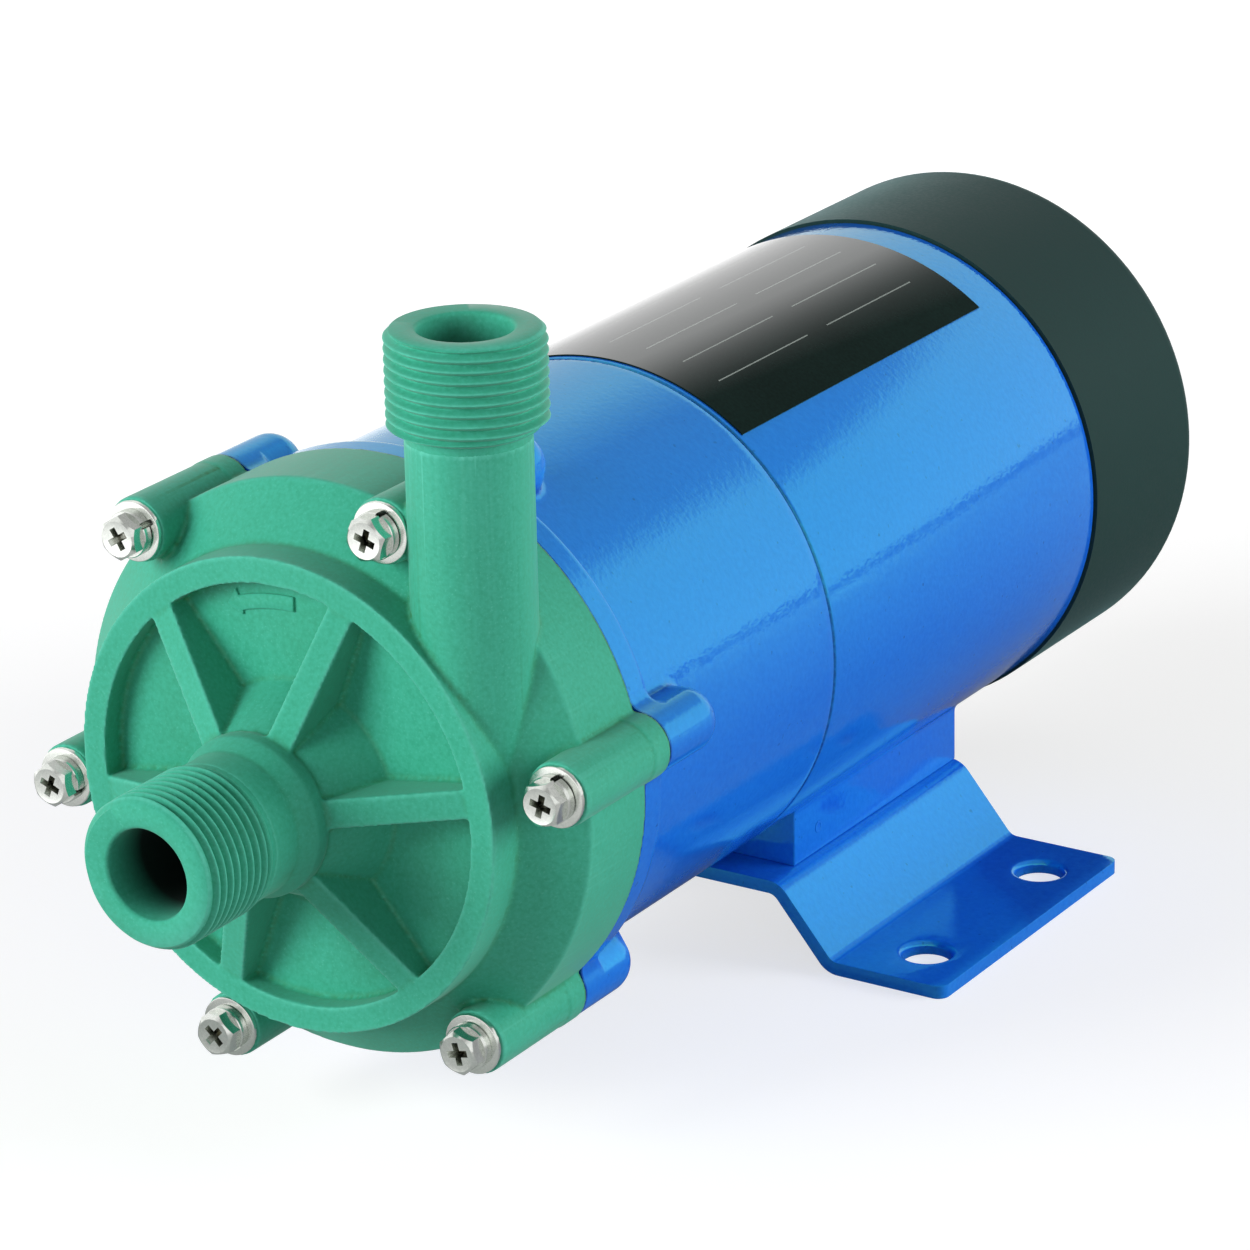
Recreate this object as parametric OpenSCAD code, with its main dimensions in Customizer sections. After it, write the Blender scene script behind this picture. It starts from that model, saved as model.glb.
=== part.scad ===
// Magnetic drive pump: a moulded centrifugal pump head on a bracket, driven through a
// sealed containment can by an electric motor that stands on a bent sheet base.
// Frame: millimetres, +Z up, shaft along Y with the suction port facing -Y.
// The origin lies on the floor, at the centre of the four base holes.

/* [Ports] */
// Outside diameter of the port threads
port_d = 26.4; // [24:0.1:30]
// Length of the threaded stretch of each port
thread_len = 17; // [12:0.5:20]
// Through bore of each port
port_bore_d = 15.6; // [11:0.1:17]
// Outside diameter of the discharge pipe below its thread
pipe_d = 20.8; // [19.5:0.1:23]
// Suction end face ahead of the casing joint
suction_reach = 68.5; // [65:0.5:80]
// Discharge end face above the shaft
discharge_h = 82.7; // [76:0.1:100]
// Discharge axis to the right of the shaft
discharge_x = 31.2; // [29:0.1:33]
// Discharge axis ahead of the casing joint
discharge_ahead = 19.2; // [18:0.1:20]

/* [Front casing] */
// Outside diameter of the casing rim
casing_d = 102; // [101:0.5:108]
// Casing joint to the face of the front ring
casing_depth = 31.2; // [29:0.1:35]
// Length of the straight rim
rim_len = 16.6; // [14:0.1:18]
// Outside diameter of the front ring
ring_d = 83.4; // [82:0.1:87]
// Width of the ring face
ring_w = 4.6; // [3.5:0.1:6]
// Height of the ring above the shoulder
ring_h = 7; // [5:0.1:8]
// Depth of the panel between the ribs
panel_drop = 4.3; // [3:0.1:5]
// Thickness of the panel
panel_t = 5.4; // [4.5:0.1:6]
// Thickness of the six ribs
rib_t = 5; // [3:0.1:7]
// Diameter of the collar behind the suction thread
collar_d = 28.1; // [27:0.1:32]
// Collar edge ahead of the ring face
collar_ahead = 9.8; // [7:0.1:12]
// Diameter of the suction boss where it meets the panel
boss_foot_d = 38.6; // [34:0.1:46]
// Diameter of the neck between thread and collar
neck_d = 25.2; // [23:0.1:26]

/* [Casing screws] */
// Number of casing screws, one in line with each rib
screw_count = 6; // [5:1:8]
// Pitch circle of the casing screws
screw_pcd = 102; // [101:0.1:106]
// Angle of the first screw above the horizontal, seen from the front
screw_turn = 9.5; // [0:0.5:20]
// Nominal screw diameter
screw_d = 4; // [3:0.5:5]
// Diameter of the casing bosses and of the bracket lobes
screw_boss_d = 11.4; // [11:0.1:13]
// Boss faces ahead of the casing joint
screw_boss_ahead = 25; // [23:0.1:28]
// Width across the flats of the screw heads
head_af = 7; // [6:0.5:8]
// Height of the screw heads
head_h = 3.2; // [2.5:0.1:4]
// Outside diameter of the split washers
split_washer_d = 7.8; // [7:0.1:9]
// Thickness of the split washers
split_washer_t = 1.3; // [1:0.1:1.6]
// Outside diameter of the flat washers
flat_washer_d = 10; // [9:0.1:11]
// Thickness of the flat washers
flat_washer_t = 1; // [0.6:0.1:1.4]

/* [Wet end] */
// Diameter of the impeller
impeller_d = 72; // [60:0.5:74]
// Number of impeller vanes
vane_count = 5; // [4:1:7]
// Thickness of the vanes
vane_t = 2.4; // [1.6:0.1:3.5]
// Diameter of the fixed ceramic spindle
spindle_d = 8; // [6:0.5:9]
// Diameter of the containment can as a share of the bracket's
can_share = 0.48; // [0.44:0.01:0.5]
// Wall of the containment can
can_wall = 2; // [1.5:0.1:3]
// Thickness of the rear casing's flange
rear_flange_t = 6; // [5:0.1:7]
// Section of the casing seal ring
seal_d = 2.1; // [1.6:0.1:2.4]

/* [Bracket] */
// Outside diameter of the bracket and of the motor
body_d = 96; // [94:0.5:100]
// Casing joint to the seam between bracket and motor
bracket_len = 66.8; // [62:0.1:76]
// Wall of the bracket
bracket_wall = 4; // [3:0.1:5]
// Thickness of the bracket flange
flange_t = 6; // [5:0.1:8]
// Reach of the screw lobes behind the casing joint
lobe_len = 18; // [15:0.1:24]

/* [Motor] */
// Length of the motor housing
motor_len = 97.1; // [88:0.1:120]
// Wall of the motor housing
motor_wall = 4; // [3:0.1:5]
// Diameter of the motor shaft at its bearings
shaft_d = 12; // [10:0.5:14]
// Outside diameter of the ball bearings
bearing_d = 32; // [28:1:35]
// Width of the ball bearings
bearing_w = 10; // [8:0.5:11]
// Room round the rotor for stator and housing wall
rotor_room = 23; // [22:0.5:26]
// Number of stator slots
slot_count = 16; // [12:4:20]
// Width of the rating plate, measured as an angle round the motor
plate_angle = 73.6; // [40:0.1:90]
// Length of the rating plate
plate_len = 85.2; // [50:0.1:86]

/* [Fan and cover] */
// Step of the fan cover over the motor housing
cover_proud = 0.6; // [0.4:0.1:4]
// Length of the fan cover
cover_len = 41.5; // [36:0.1:55]
// Wall of the fan cover
cover_wall = 2.2; // [1.6:0.1:3]
// Radius of the cover's rear edge
cover_round = 4; // [3:0.1:6]
// Diameter of the cooling fan
fan_d = 70; // [56:0.5:72]
// Number of fan blades
fan_blades = 8; // [6:1:12]

/* [Base] */
// Height of the shaft above the floor
shaft_h = 64; // [61:0.5:80]
// Base holes to the outer edges of the feet
foot_edge = 10.3; // [8:0.1:20]
// Length of the base plate along the shaft
base_len = 67.8; // [62:0.2:90]
// Thickness of the base sheet
sheet_t = 2.5; // [2:0.1:4]
// Width of the flat top of the base plate
base_top_w = 58; // [52:0.5:64]
// Slope of the legs below the horizontal
leg_slope = 50; // [40:1:65]
// Distance between the base holes across the shaft
hole_x = 110; // [104:0.5:112]
// Distance between the base holes along the shaft
hole_y = 43; // [30:0.5:48]
// Diameter of the base holes
hole_d = 9; // [6:0.1:10]
// Centre of the base holes behind the seam of bracket and motor
base_behind = 41.4; // [40:0.1:50]
// Width of the pad under the motor
pad_w = 60; // [56:0.5:66]
// Length of the pad under the motor
pad_len = 60; // [50:0.5:62]

/* [Hidden] */
$fn = 96;

// Clearances
seat_gap = 0.1;      // between round pieces of one assembly
run_gap = 0.05;      // radial, shaft or spindle in its bearing
thread_gap = 0.1;    // radial, screw in its hole
screw_slack = 0.25;  // radial, screw through a clearance hole
side_gap = 1.5;      // axial, spinning piece to a fixed wall
end_play = 0.3;      // axial, between shoulders that must not rub
cut = 1;             // how far a cutting body overshoots

// Stations along the shaft, measured from the casing joint, positive towards the motor
ring_face = -casing_depth;
panel_z = ring_face + panel_drop;
chamber_front = panel_z + panel_t;
collar_z = ring_face - collar_ahead;
suction_z = -suction_reach;
rear_flange_z = -rear_flange_t;
seam = bracket_len;
cover_z = seam + motor_len;
joint_y = -(seam + base_behind);

// Ports
thread_chamfer = 0.7;
neck_flare = 3.4;
pipe_step = 1.4;

// Suction bell and the spider that carries the front end of the spindle
bell_d = 22;
bell_taper = 4;
thrust_ring_t = 2;
spider_hub_wall = 2.2;
spider_hub_d = spindle_d + 2 * spider_hub_wall;
spider_hub_len = 9.5;
spider_vane_t = 2;
spider_vanes = 3;
spider_vane_step = 1;
spindle_seat = 7.5;
thrust_z = chamber_front - thrust_ring_t;

// Volute: radius grows once round from the tongue, against the clock seen from the front
rim_wall = 3.8;
rear_seat_d = casing_d - 2 * rim_wall;
rear_seat_step = 2.8;
tongue_gap = 3.4;
volute_start_r = impeller_d / 2 + tongue_gap;
volute_end_r = rear_seat_d / 2 - rear_seat_step;
volute_points = 60;
tongue_angle = 50;
discharge_dip = 14;
discharge_low = volute_end_r - discharge_dip;
discharge_ball_d = port_bore_d + 2;

// Casing bosses, webs and ribs
web_t = 4;
web_drop = 3;
rib_under_collar = 2.4;
rib_root = 4;
rib_drop = 0.3;
rib_lap = 0.6;
screw_end = 11;
split_w = 0.8;
spot_room = 0.3;

// Impeller, stacked from the front wall of the chamber to the rear casing
shroud_gap = 1.5;
shroud_t = 2;
disc_t = 3;
eye_d = bell_d;
eye_wall = 2;
shroud_z = chamber_front + shroud_gap;
vane_z = shroud_z + shroud_t;
disc_gap = 2;
disc_end = rear_flange_z - disc_gap;
disc_z = disc_end - disc_t;
vane_inner_r = 13;
vane_sweep = 70;
vane_points = 10;
vane_overrun = 1.05;
vane_sink = 0.5;
vane_tip_d = impeller_d - 1;
bush_wall = 2.6;
bush_d = spindle_d + 2 * run_gap + 2 * bush_wall;
impeller_hub_wall = 2.4;
impeller_hub_z = vane_z - 1;

// Containment can and drive magnets, stacked back from the motor's front shield
can_d = can_share * body_d;
yoke_t = 3.6;
yoke_back_t = 4;
yoke_hub_len = 3.8;
drive_hub_wall = 6;
drive_hub_d = shaft_d + 2 * drive_hub_wall;
drive_hub_end = seam - side_gap;
yoke_back_z = drive_hub_end - yoke_hub_len - yoke_back_t;
can_tip = yoke_back_z - side_gap;
spindle_boss_len = 6;
spindle_boss_wall = 5;
spindle_cap = 3;
spindle_end = can_tip - spindle_cap;
can_end = can_tip - spindle_boss_len;
can_end_t = 4;
can_floor = can_end - can_end_t;
can_in_d = can_d - 2 * can_wall;
rear_thrust_t = 1.7;
rear_thrust_w = 3.5;
capsule_end = can_floor - rear_thrust_t - end_play;
capsule_gap = 0.6;
capsule_d = can_in_d - 2 * capsule_gap;
capsule_wall = 2.4;
inner_magnet_z = 2;
magnet_gap = 1.6;
drive_magnet_t = 4.8;
drive_magnet_in = can_d + 2 * magnet_gap;
drive_magnet_out = drive_magnet_in + 2 * drive_magnet_t;
drive_magnet_count = 8;
drive_magnet_share = 0.88;
drive_magnet_set = 2;
yoke_front = flange_t + drive_magnet_set;
yoke_d = drive_magnet_out + 2 * seat_gap + 2 * yoke_t;
grub_d = 3;
grub_drop = 0.5;

// Bracket
flange_inset = 0.3;
flange_d = casing_d - 2 * flange_inset;
flange_chamfer = 1;
rear_web_t = 5;
yoke_room = 1.5;
rear_web_in = yoke_d + 2 * yoke_room;
rear_web_screws = 4;
rear_screw_r = (rear_web_in / 2 + body_d / 2 - bracket_wall) / 2;
rear_screw_head_d = 6.6;
rear_screw_head_h = 3;
seam_chamfer = 0.5;
blind_room = 0.5;      // hole left below a screw's end
screw_short = 1;       // screw's end short of the far face

// Motor
housing_in = body_d - 2 * motor_wall;
rotor_d = body_d - 2 * rotor_room;
shield_t = 7;
bearing_lip = 3;
bearing_land = 4;
front_bearing_z = seam + bearing_lip;
spring_t = 1.5;
spring_w = 2.7;
rear_bearing_end = cover_z - bearing_lip - spring_t;
rear_bearing_z = rear_bearing_end - bearing_w;
winding_reach = 11;
winding_gap = 1;
stack_z = front_bearing_z + bearing_w + winding_gap + winding_reach;
stack_end = rear_bearing_z - winding_gap - winding_reach;
air_gap = 0.4;
tie_inset = 3.4;
tie_r = housing_in / 2 - tie_inset;
tie_d = 4;
tie_count = 4;
tie_angle = 45;
tie_in_r = tie_r - tie_d / 2;
slot_r = (rotor_d / 2 + tie_in_r) / 2;
slot_most_d = 6.4;
slot_share = 0.6;
slot_depth_share = 0.55;
slot_d = min(
    slot_most_d,
    slot_share * 2 * PI * slot_r / slot_count,
    slot_depth_share * (tie_in_r - rotor_d / 2)
);
winding_room = 3;
winding_clear = 1.4;
winding_in = rotor_d + 2 * winding_room;
winding_out = 2 * (tie_in_r - winding_clear);
tie_head_d = 6.8;
tie_head_h = 3;
cage_ring_t = 3;
cage_ring_w = 8;
cage_ring_d = rotor_d - 1;
cage_bars = 18;
cage_bar_d = 3;
cage_bar_r = rotor_d / 2 - cage_bar_d;
rotor_shoulder = 1.5;
rotor_seat_d = shaft_d + 2 * rotor_shoulder;
shaft_room = 1;
plate_after_seam = 1.2;
plate_t = 0.3;
plate_lift = 0.02;

// Cable inlet, on the left of the housing
inlet_behind = 9;
inlet_z = stack_end + inlet_behind;
inlet_hole_d = 13;
inlet_reach = 9;
inlet_collar_d = 18;
inlet_collar_t = 2.5;
inlet_collar_lift = 0.2;
gland_wall = 1.5;
cable_d = 7;

// Fan and cover
spigot_len = 5;
cover_d = body_d + 2 * cover_proud;
cover_in = cover_d - 2 * cover_wall;
spigot_d = cover_in - 2 * seat_gap;
fan_shaft_d = shaft_d - 2;
fan_z = cover_z + spigot_len + tie_head_h + side_gap;
fan_room = 12;
fan_end = cover_z + cover_len - cover_wall - fan_room;
fan_hub_d = 20;
fan_plate_t = 2;
fan_blade_t = 2;
fan_cap_t = 1;
fan_blade_step = 2;
fan_rim = 0.5;
cover_end = cover_z + cover_len;
post_count = 3;
post_angle = 90;
post_d = 10;
post_sink = 0.8;
post_r = cover_in / 2 - post_d / 2 + post_sink;
post_screw_d = 4;
post_head_d = 6.6;
post_head_h = 2.4;
grille_rings = 3;
grille_in = 8;
grille_slot = 6;
grille_bar = 3;
grille_count = 12;
grille_web = 8;

// Base
base_w = hole_x + 2 * foot_edge;
pad_drop = 0.3;
pad_bottom = body_d / 2 + pad_drop;
base_top = shaft_h - pad_bottom;
pad_end = seam + base_behind + base_len / 2;
bend_r = 2.5;
bend_points = 6;
foot_corner_r = 4;
base_screw_d = 5;
base_screw_head_af = 8;
base_screw_head_h = 3.5;
base_screw_bite = 7;
base_screw_in = [8, 10];
base_screw_x = pad_w / 2 - base_screw_in.x;
base_screw_y = pad_len / 2 - base_screw_in.y;

// Puts a shape drawn along +Z from the casing joint onto the shaft line
module along_shaft() {
    translate([0, joint_y, shaft_h]) rotate([-90, 0, 0]) children();
}

// Repeats a shape round the shaft, against the clock seen from the front
module round_shaft(count, turn = 0) {
    for (i = [0 : count - 1]) rotate(-turn - i * 360 / count) children();
}

module rod(d, from, to) {
    translate([0, 0, from]) cylinder(d = d, h = to - from);
}

module tube(outer, inner, from, to) {
    difference() {
        rod(outer, from, to);
        rod(inner, from - cut, to + cut);
    }
}

// A sector of a ring, its angle counted from +X in the shape's own plane
module ring_sector(r_in, r_out, from, to, angle) {
    translate([0, 0, from]) rotate_extrude(angle = angle)
        translate([r_in, 0]) square([r_out - r_in, to - from]);
}

module hex_rod(af, from, to) {
    translate([0, 0, from]) cylinder(d = af / cos(30), h = to - from, $fn = 6);
}

// Stands a shape on the discharge axis, its +Z pointing up from the shaft
module on_discharge() {
    translate([discharge_x, 0, -discharge_ahead]) rotate([90, 0, 0]) children();
}

function volute_r(turn) = volute_start_r + (volute_end_r - volute_start_r) * turn;

// Wet end: front casing

module casing_outside() {
    ring_in_r = ring_d / 2 - ring_w;
    thread_end = suction_z + thread_len;
    rotate_extrude() polygon([
        [0, suction_z], [port_d / 2 - thread_chamfer, suction_z], [port_d / 2, suction_z + thread_chamfer],
        [port_d / 2, thread_end], [neck_d / 2, thread_end + thread_chamfer],
        [neck_d / 2, collar_z - neck_flare], [collar_d / 2, collar_z], [boss_foot_d / 2, panel_z],
        [ring_in_r, panel_z], [ring_in_r, ring_face], [ring_d / 2, ring_face],
        [ring_d / 2, ring_face + ring_h], [casing_d / 2, -rim_len], [casing_d / 2, 0], [0, 0]
    ]);
}

// The pipe rises along the ring's outer wall and stays out of the ribbed front
module discharge_pipe() {
    thread_low = discharge_h - thread_len;
    difference() {
        on_discharge() rotate_extrude() polygon([
            [0, 0], [pipe_d / 2, 0], [pipe_d / 2, thread_low - pipe_step], [port_d / 2, thread_low],
            [port_d / 2, discharge_h - thread_chamfer], [port_d / 2 - thread_chamfer, discharge_h],
            [0, discharge_h]
        ]);
        rod(ring_d - ring_w, ring_face - cut, 0);
    }
}

module casing_boss() {
    translate([screw_pcd / 2, 0, 0]) rod(screw_boss_d, -screw_boss_ahead, 0);
    translate([ring_d / 2 - ring_w / 2, -web_t / 2, web_drop - screw_boss_ahead])
        cube([(screw_pcd - ring_d + ring_w) / 2, web_t, screw_boss_ahead - web_drop - rim_len / 2]);
}

// A rib runs from the ring face up to just under the collar
module casing_rib() {
    rib_in = collar_d / 2 - rib_root;
    rib_out = ring_d / 2 - ring_w / 2;
    bend_at = ring_d / 2 - ring_w + rib_lap;
    rib_face = ring_face + rib_drop;
    rise = (collar_ahead - rib_under_collar) / (bend_at - collar_d / 2);
    rotate([90, 0, 0]) linear_extrude(rib_t, center = true) polygon([
        [rib_in, panel_z + cut], [rib_in, rib_face - rise * (bend_at - rib_in)],
        [bend_at, rib_face], [rib_out, rib_face], [rib_out, panel_z + cut]
    ]);
}

module volute_hollow() {
    outer_r = volute_end_r + cut;
    corner = outer_r - impeller_d / 2 + cut;
    intersection() {
        translate([0, 0, chamber_front]) linear_extrude(-chamber_front) polygon([
            for (i = [0 : volute_points])
                let (a = -tongue_angle - 360 * i / volute_points)
                volute_r(i / volute_points) * [cos(a), sin(a)]
        ]);
        rotate_extrude() polygon([
            [0, chamber_front], [outer_r - corner, chamber_front],
            [outer_r, chamber_front + corner], [outer_r, 0], [0, 0]
        ]);
    }
}

module casing_hollow() {
    bell_end = collar_z + bell_taper;
    rotate_extrude() polygon([
        [0, suction_z - cut], [port_bore_d / 2, suction_z - cut], [port_bore_d / 2, collar_z],
        [bell_d / 2, bell_end], [bell_d / 2, chamber_front + cut], [0, chamber_front + cut]
    ]);
    volute_hollow();
    rod(rear_seat_d, rear_flange_z, cut);
    on_discharge() {
        rod(port_bore_d, discharge_low, discharge_h + cut);
        translate([0, 0, discharge_low]) sphere(d = discharge_ball_d);
    }
}

module spindle_spider() {
    hub_front = thrust_z - spider_hub_len;
    difference() {
        union() {
            rod(spider_hub_d, hub_front, thrust_z);
            round_shaft(spider_vanes, 90) translate([0, -spider_vane_t / 2, hub_front])
                cube([bell_d / 2 + cut, spider_vane_t, spider_hub_len - spider_vane_step]);
        }
        rod(spindle_d + 2 * seat_gap, thrust_z - spindle_seat, thrust_z + cut);
    }
}

module front_casing() {
    color("#3fa385") along_shaft() {
        difference() {
            union() {
                casing_outside();
                discharge_pipe();
                round_shaft(screw_count, screw_turn) casing_boss();
                round_shaft(screw_count, screw_turn) casing_rib();
            }
            casing_hollow();
            round_shaft(screw_count, screw_turn) translate([screw_pcd / 2, 0, 0]) {
                rod(screw_d + 2 * screw_slack, -screw_boss_ahead - cut, cut);
                rod(flat_washer_d + 2 * spot_room, -casing_depth - cut, -screw_boss_ahead);
            }
        }
        spindle_spider();
    }
}

// Wet end: casing screws with their washers

module casing_screws() {
    under_head = -screw_boss_ahead - flat_washer_t - split_washer_t;
    color("#d9dcdd") along_shaft() round_shaft(screw_count, screw_turn) translate([screw_pcd / 2, 0, 0]) {
        hex_rod(head_af, under_head - head_h, under_head);
        rod(screw_d, under_head, screw_end);
    }
}

module split_washers() {
    front = -screw_boss_ahead - flat_washer_t - split_washer_t;
    color("#c6cacb") along_shaft() round_shaft(screw_count, screw_turn) translate([screw_pcd / 2, 0, 0])
        difference() {
            tube(split_washer_d, screw_d + 2 * thread_gap, front, front + split_washer_t);
            translate([0, -split_w / 2, front - cut])
                cube([split_washer_d, split_w, split_washer_t + 2 * cut]);
        }
}

module flat_washers() {
    front = -screw_boss_ahead - flat_washer_t;
    color("#e6e8e8") along_shaft() round_shaft(screw_count, screw_turn) translate([screw_pcd / 2, 0, 0])
        tube(flat_washer_d, screw_d + 2 * thread_gap, front, front + flat_washer_t);
}

// Wet end: rear casing, seal and the fixed spindle with its thrust rings

module rear_casing() {
    flange_od = rear_seat_d - 2 * seat_gap;
    groove_w = seal_d + 2 * end_play;
    groove_d = flange_od - 2 * seal_d;
    groove_z = (rear_flange_z - groove_w) / 2;
    color("#2f8f74") along_shaft() difference() {
        union() {
            rod(flange_od, rear_flange_z, 0);
            rod(can_d, rear_flange_z, can_end);
            rod(spindle_d + 2 * spindle_boss_wall, can_end - cut, can_tip);
        }
        rod(can_in_d, rear_flange_z - cut, can_floor);
        rod(spindle_d + 2 * seat_gap, can_floor - cut, spindle_end);
        tube(flange_od + 2 * cut, groove_d, groove_z, groove_z + groove_w);
    }
}

module casing_seal() {
    centre_r = rear_seat_d / 2 - 2 * seat_gap - seal_d / 2 + seat_gap / 2;
    color("#202224") along_shaft() translate([0, 0, rear_flange_z / 2])
        rotate_extrude() translate([centre_r, 0]) circle(d = seal_d - seat_gap);
}

module spindle() {
    color("#f3efe4") along_shaft() rod(spindle_d, thrust_z - spindle_seat, spindle_end);
}

module front_thrust_ring() {
    color("#f3efe4") along_shaft()
        tube(spider_hub_d, spindle_d + 2 * seat_gap, thrust_z, thrust_z + thrust_ring_t);
}

module rear_thrust_ring() {
    color("#f3efe4") along_shaft()
        tube(spindle_d + 2 * rear_thrust_w, spindle_d + 2 * seat_gap, can_floor - rear_thrust_t, can_floor);
}

// Wet end: impeller with its magnet capsule

function vane_at(t, side) =
    let (r = vane_inner_r + (impeller_d / 2 - vane_inner_r) * t, a = -vane_sweep * t)
    r * [cos(a), sin(a)] + side * vane_t / 2 * [sin(a), -cos(a)];

module impeller_vane() {
    translate([0, 0, vane_z]) linear_extrude(disc_z - vane_z + vane_sink) intersection() {
        circle(d = vane_tip_d);
        polygon(concat(
            [for (i = [0 : vane_points]) vane_at(vane_overrun * i / vane_points, -1)],
            [for (i = [vane_points : -1 : 0]) vane_at(vane_overrun * i / vane_points, 1)]
        ));
    }
}

module impeller() {
    hub_d = bush_d + 2 * seat_gap + 2 * impeller_hub_wall;
    color("#8fb7a8") along_shaft() difference() {
        union() {
            rod(impeller_d, disc_z, disc_end);
            rod(hub_d, impeller_hub_z, disc_end);
            round_shaft(vane_count) impeller_vane();
        }
        rod(bush_d + 2 * seat_gap, impeller_hub_z - cut, disc_end + cut);
    }
}

module impeller_shroud() {
    color("#9cc2b4") along_shaft() difference() {
        union() {
            rod(impeller_d, shroud_z, shroud_z + shroud_t);
            rod(eye_d + 2 * eye_wall, shroud_z - shroud_gap / 2, shroud_z + shroud_t);
        }
        rod(eye_d, shroud_z - shroud_gap, shroud_z + shroud_t + cut);
    }
}

module impeller_bush() {
    color("#e9e7df") along_shaft()
        tube(bush_d, spindle_d + 2 * run_gap, chamber_front + end_play, capsule_end);
}

module magnet_capsule() {
    bore = bush_d + 2 * seat_gap;
    hollow_d = capsule_d - 2 * capsule_wall;
    color("#8fb7a8") along_shaft() difference() {
        tube(capsule_d, bore, disc_end, capsule_end);
        tube(hollow_d, bore + 2 * capsule_wall, inner_magnet_z, capsule_end - capsule_wall);
    }
}

module inner_magnet() {
    bore = bush_d + 2 * seat_gap;
    color("#4d4f53") along_shaft() tube(
        capsule_d - 2 * capsule_wall - 2 * seat_gap, bore + 2 * capsule_wall + 2 * seat_gap,
        inner_magnet_z, capsule_end - capsule_wall
    );
}

// Bracket between the pump head and the motor

module bracket_lobe() {
    translate([screw_pcd / 2, 0, 0]) {
        rod(screw_boss_d, 0, lobe_len - screw_boss_d / 2);
        translate([0, 0, lobe_len - screw_boss_d / 2]) sphere(d = screw_boss_d);
    }
}

module bracket() {
    inside = body_d - 2 * bracket_wall;
    color("#1f6fd6") along_shaft() difference() {
        union() {
            rotate_extrude() polygon([
                [0, 0], [flange_d / 2, 0], [flange_d / 2, flange_t - flange_chamfer],
                [flange_d / 2 - flange_chamfer, flange_t], [body_d / 2, flange_t],
                [body_d / 2, seam - seam_chamfer], [body_d / 2 - seam_chamfer, seam], [0, seam]
            ]);
            round_shaft(screw_count, screw_turn) bracket_lobe();
        }
        rod(inside, flange_t, seam - rear_web_t);
        rod(can_d + 2 * seat_gap, -cut, flange_t + cut);
        rod(rear_web_in, seam - rear_web_t - cut, seam + cut);
        round_shaft(screw_count, screw_turn) translate([screw_pcd / 2, 0, 0])
            rod(screw_d + 2 * thread_gap, -cut, screw_end + blind_room);
        round_shaft(rear_web_screws) translate([rear_screw_r, 0, 0])
            rod(screw_d + 2 * screw_slack, seam - rear_web_t - cut, seam + cut);
    }
}

module bracket_screws() {
    head_z = seam - rear_web_t;
    color("#b9bec2") along_shaft() round_shaft(rear_web_screws) translate([rear_screw_r, 0, 0]) {
        rod(rear_screw_head_d, head_z - rear_screw_head_h, head_z);
        rod(screw_d, head_z - cut, seam + shield_t - screw_short);
    }
}

// Magnetic drive on the motor shaft

module drive_yoke() {
    color("#8d949a") along_shaft() difference() {
        union() {
            rod(yoke_d, yoke_front, yoke_back_z + yoke_back_t);
            rod(drive_hub_d, yoke_back_z, drive_hub_end);
        }
        rod(drive_magnet_out + 2 * seat_gap, yoke_front - cut, yoke_back_z);
        rod(shaft_d + 2 * seat_gap, yoke_back_z - cut, drive_hub_end + cut);
        translate([0, 0, drive_hub_end - yoke_hub_len / 2]) rotate([0, 90, 0])
            cylinder(d = grub_d + 2 * seat_gap, h = drive_hub_d);
    }
}

module drive_magnets() {
    sector = drive_magnet_share * 360 / drive_magnet_count;
    front = yoke_front + drive_magnet_set;
    color("#3c3f44") along_shaft() round_shaft(drive_magnet_count)
        ring_sector(drive_magnet_in / 2, drive_magnet_out / 2, front, yoke_back_z, sector);
}

module drive_grub_screw() {
    grub_in = shaft_d / 2 + seat_gap;
    color("#2b2d30") along_shaft() translate([0, 0, drive_hub_end - yoke_hub_len / 2]) rotate([0, 90, 0])
        rod(grub_d, grub_in, drive_hub_d / 2 - grub_drop);
}

// Motor: housing and end shields

module motor_pad() {
    translate([-pad_w / 2, body_d / 4, pad_end - pad_len]) cube([pad_w, pad_bottom - body_d / 4, pad_len]);
}

module at_base_screws() {
    for (x = [-base_screw_x, base_screw_x], z = [-base_screw_y, base_screw_y])
        translate([x, pad_bottom, pad_end - pad_len / 2 + z]) rotate([90, 0, 0]) children();
}

// Carries a shape onto the left side of the housing, +Z pointing outwards
module at_cable_inlet() {
    translate([0, 0, inlet_z]) rotate([0, -90, 0]) children();
}

module motor_housing() {
    color("#1f6fd6") along_shaft() difference() {
        union() {
            rotate_extrude() polygon([
                [0, seam], [body_d / 2 - seam_chamfer, seam], [body_d / 2, seam + seam_chamfer],
                [body_d / 2, cover_z], [0, cover_z]
            ]);
            motor_pad();
        }
        rod(housing_in, seam - cut, cover_z + cut);
        at_base_screws() rod(base_screw_d + 2 * thread_gap, -cut, base_screw_bite + blind_room);
        at_cable_inlet() rod(inlet_hole_d + 2 * seat_gap, housing_in / 2 - motor_wall, body_d);
    }
}

module front_end_shield() {
    hub_d = bearing_d + 2 * bearing_land;
    color("#a9b0b5") along_shaft() difference() {
        union() {
            rod(housing_in - 2 * seat_gap, seam, seam + shield_t);
            rod(hub_d, seam, front_bearing_z + bearing_w);
        }
        rod(shaft_d + 2 * shaft_room, seam - cut, front_bearing_z + cut);
        rod(bearing_d + 2 * seat_gap, front_bearing_z, front_bearing_z + bearing_w + cut);
        round_shaft(rear_web_screws) translate([rear_screw_r, 0, 0])
            rod(screw_d + 2 * thread_gap, seam - cut, seam + shield_t + cut);
        round_shaft(tie_count, tie_angle) translate([tie_r, 0, 0])
            rod(tie_d + 2 * thread_gap, seam - cut, seam + shield_t + cut);
    }
}

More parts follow.
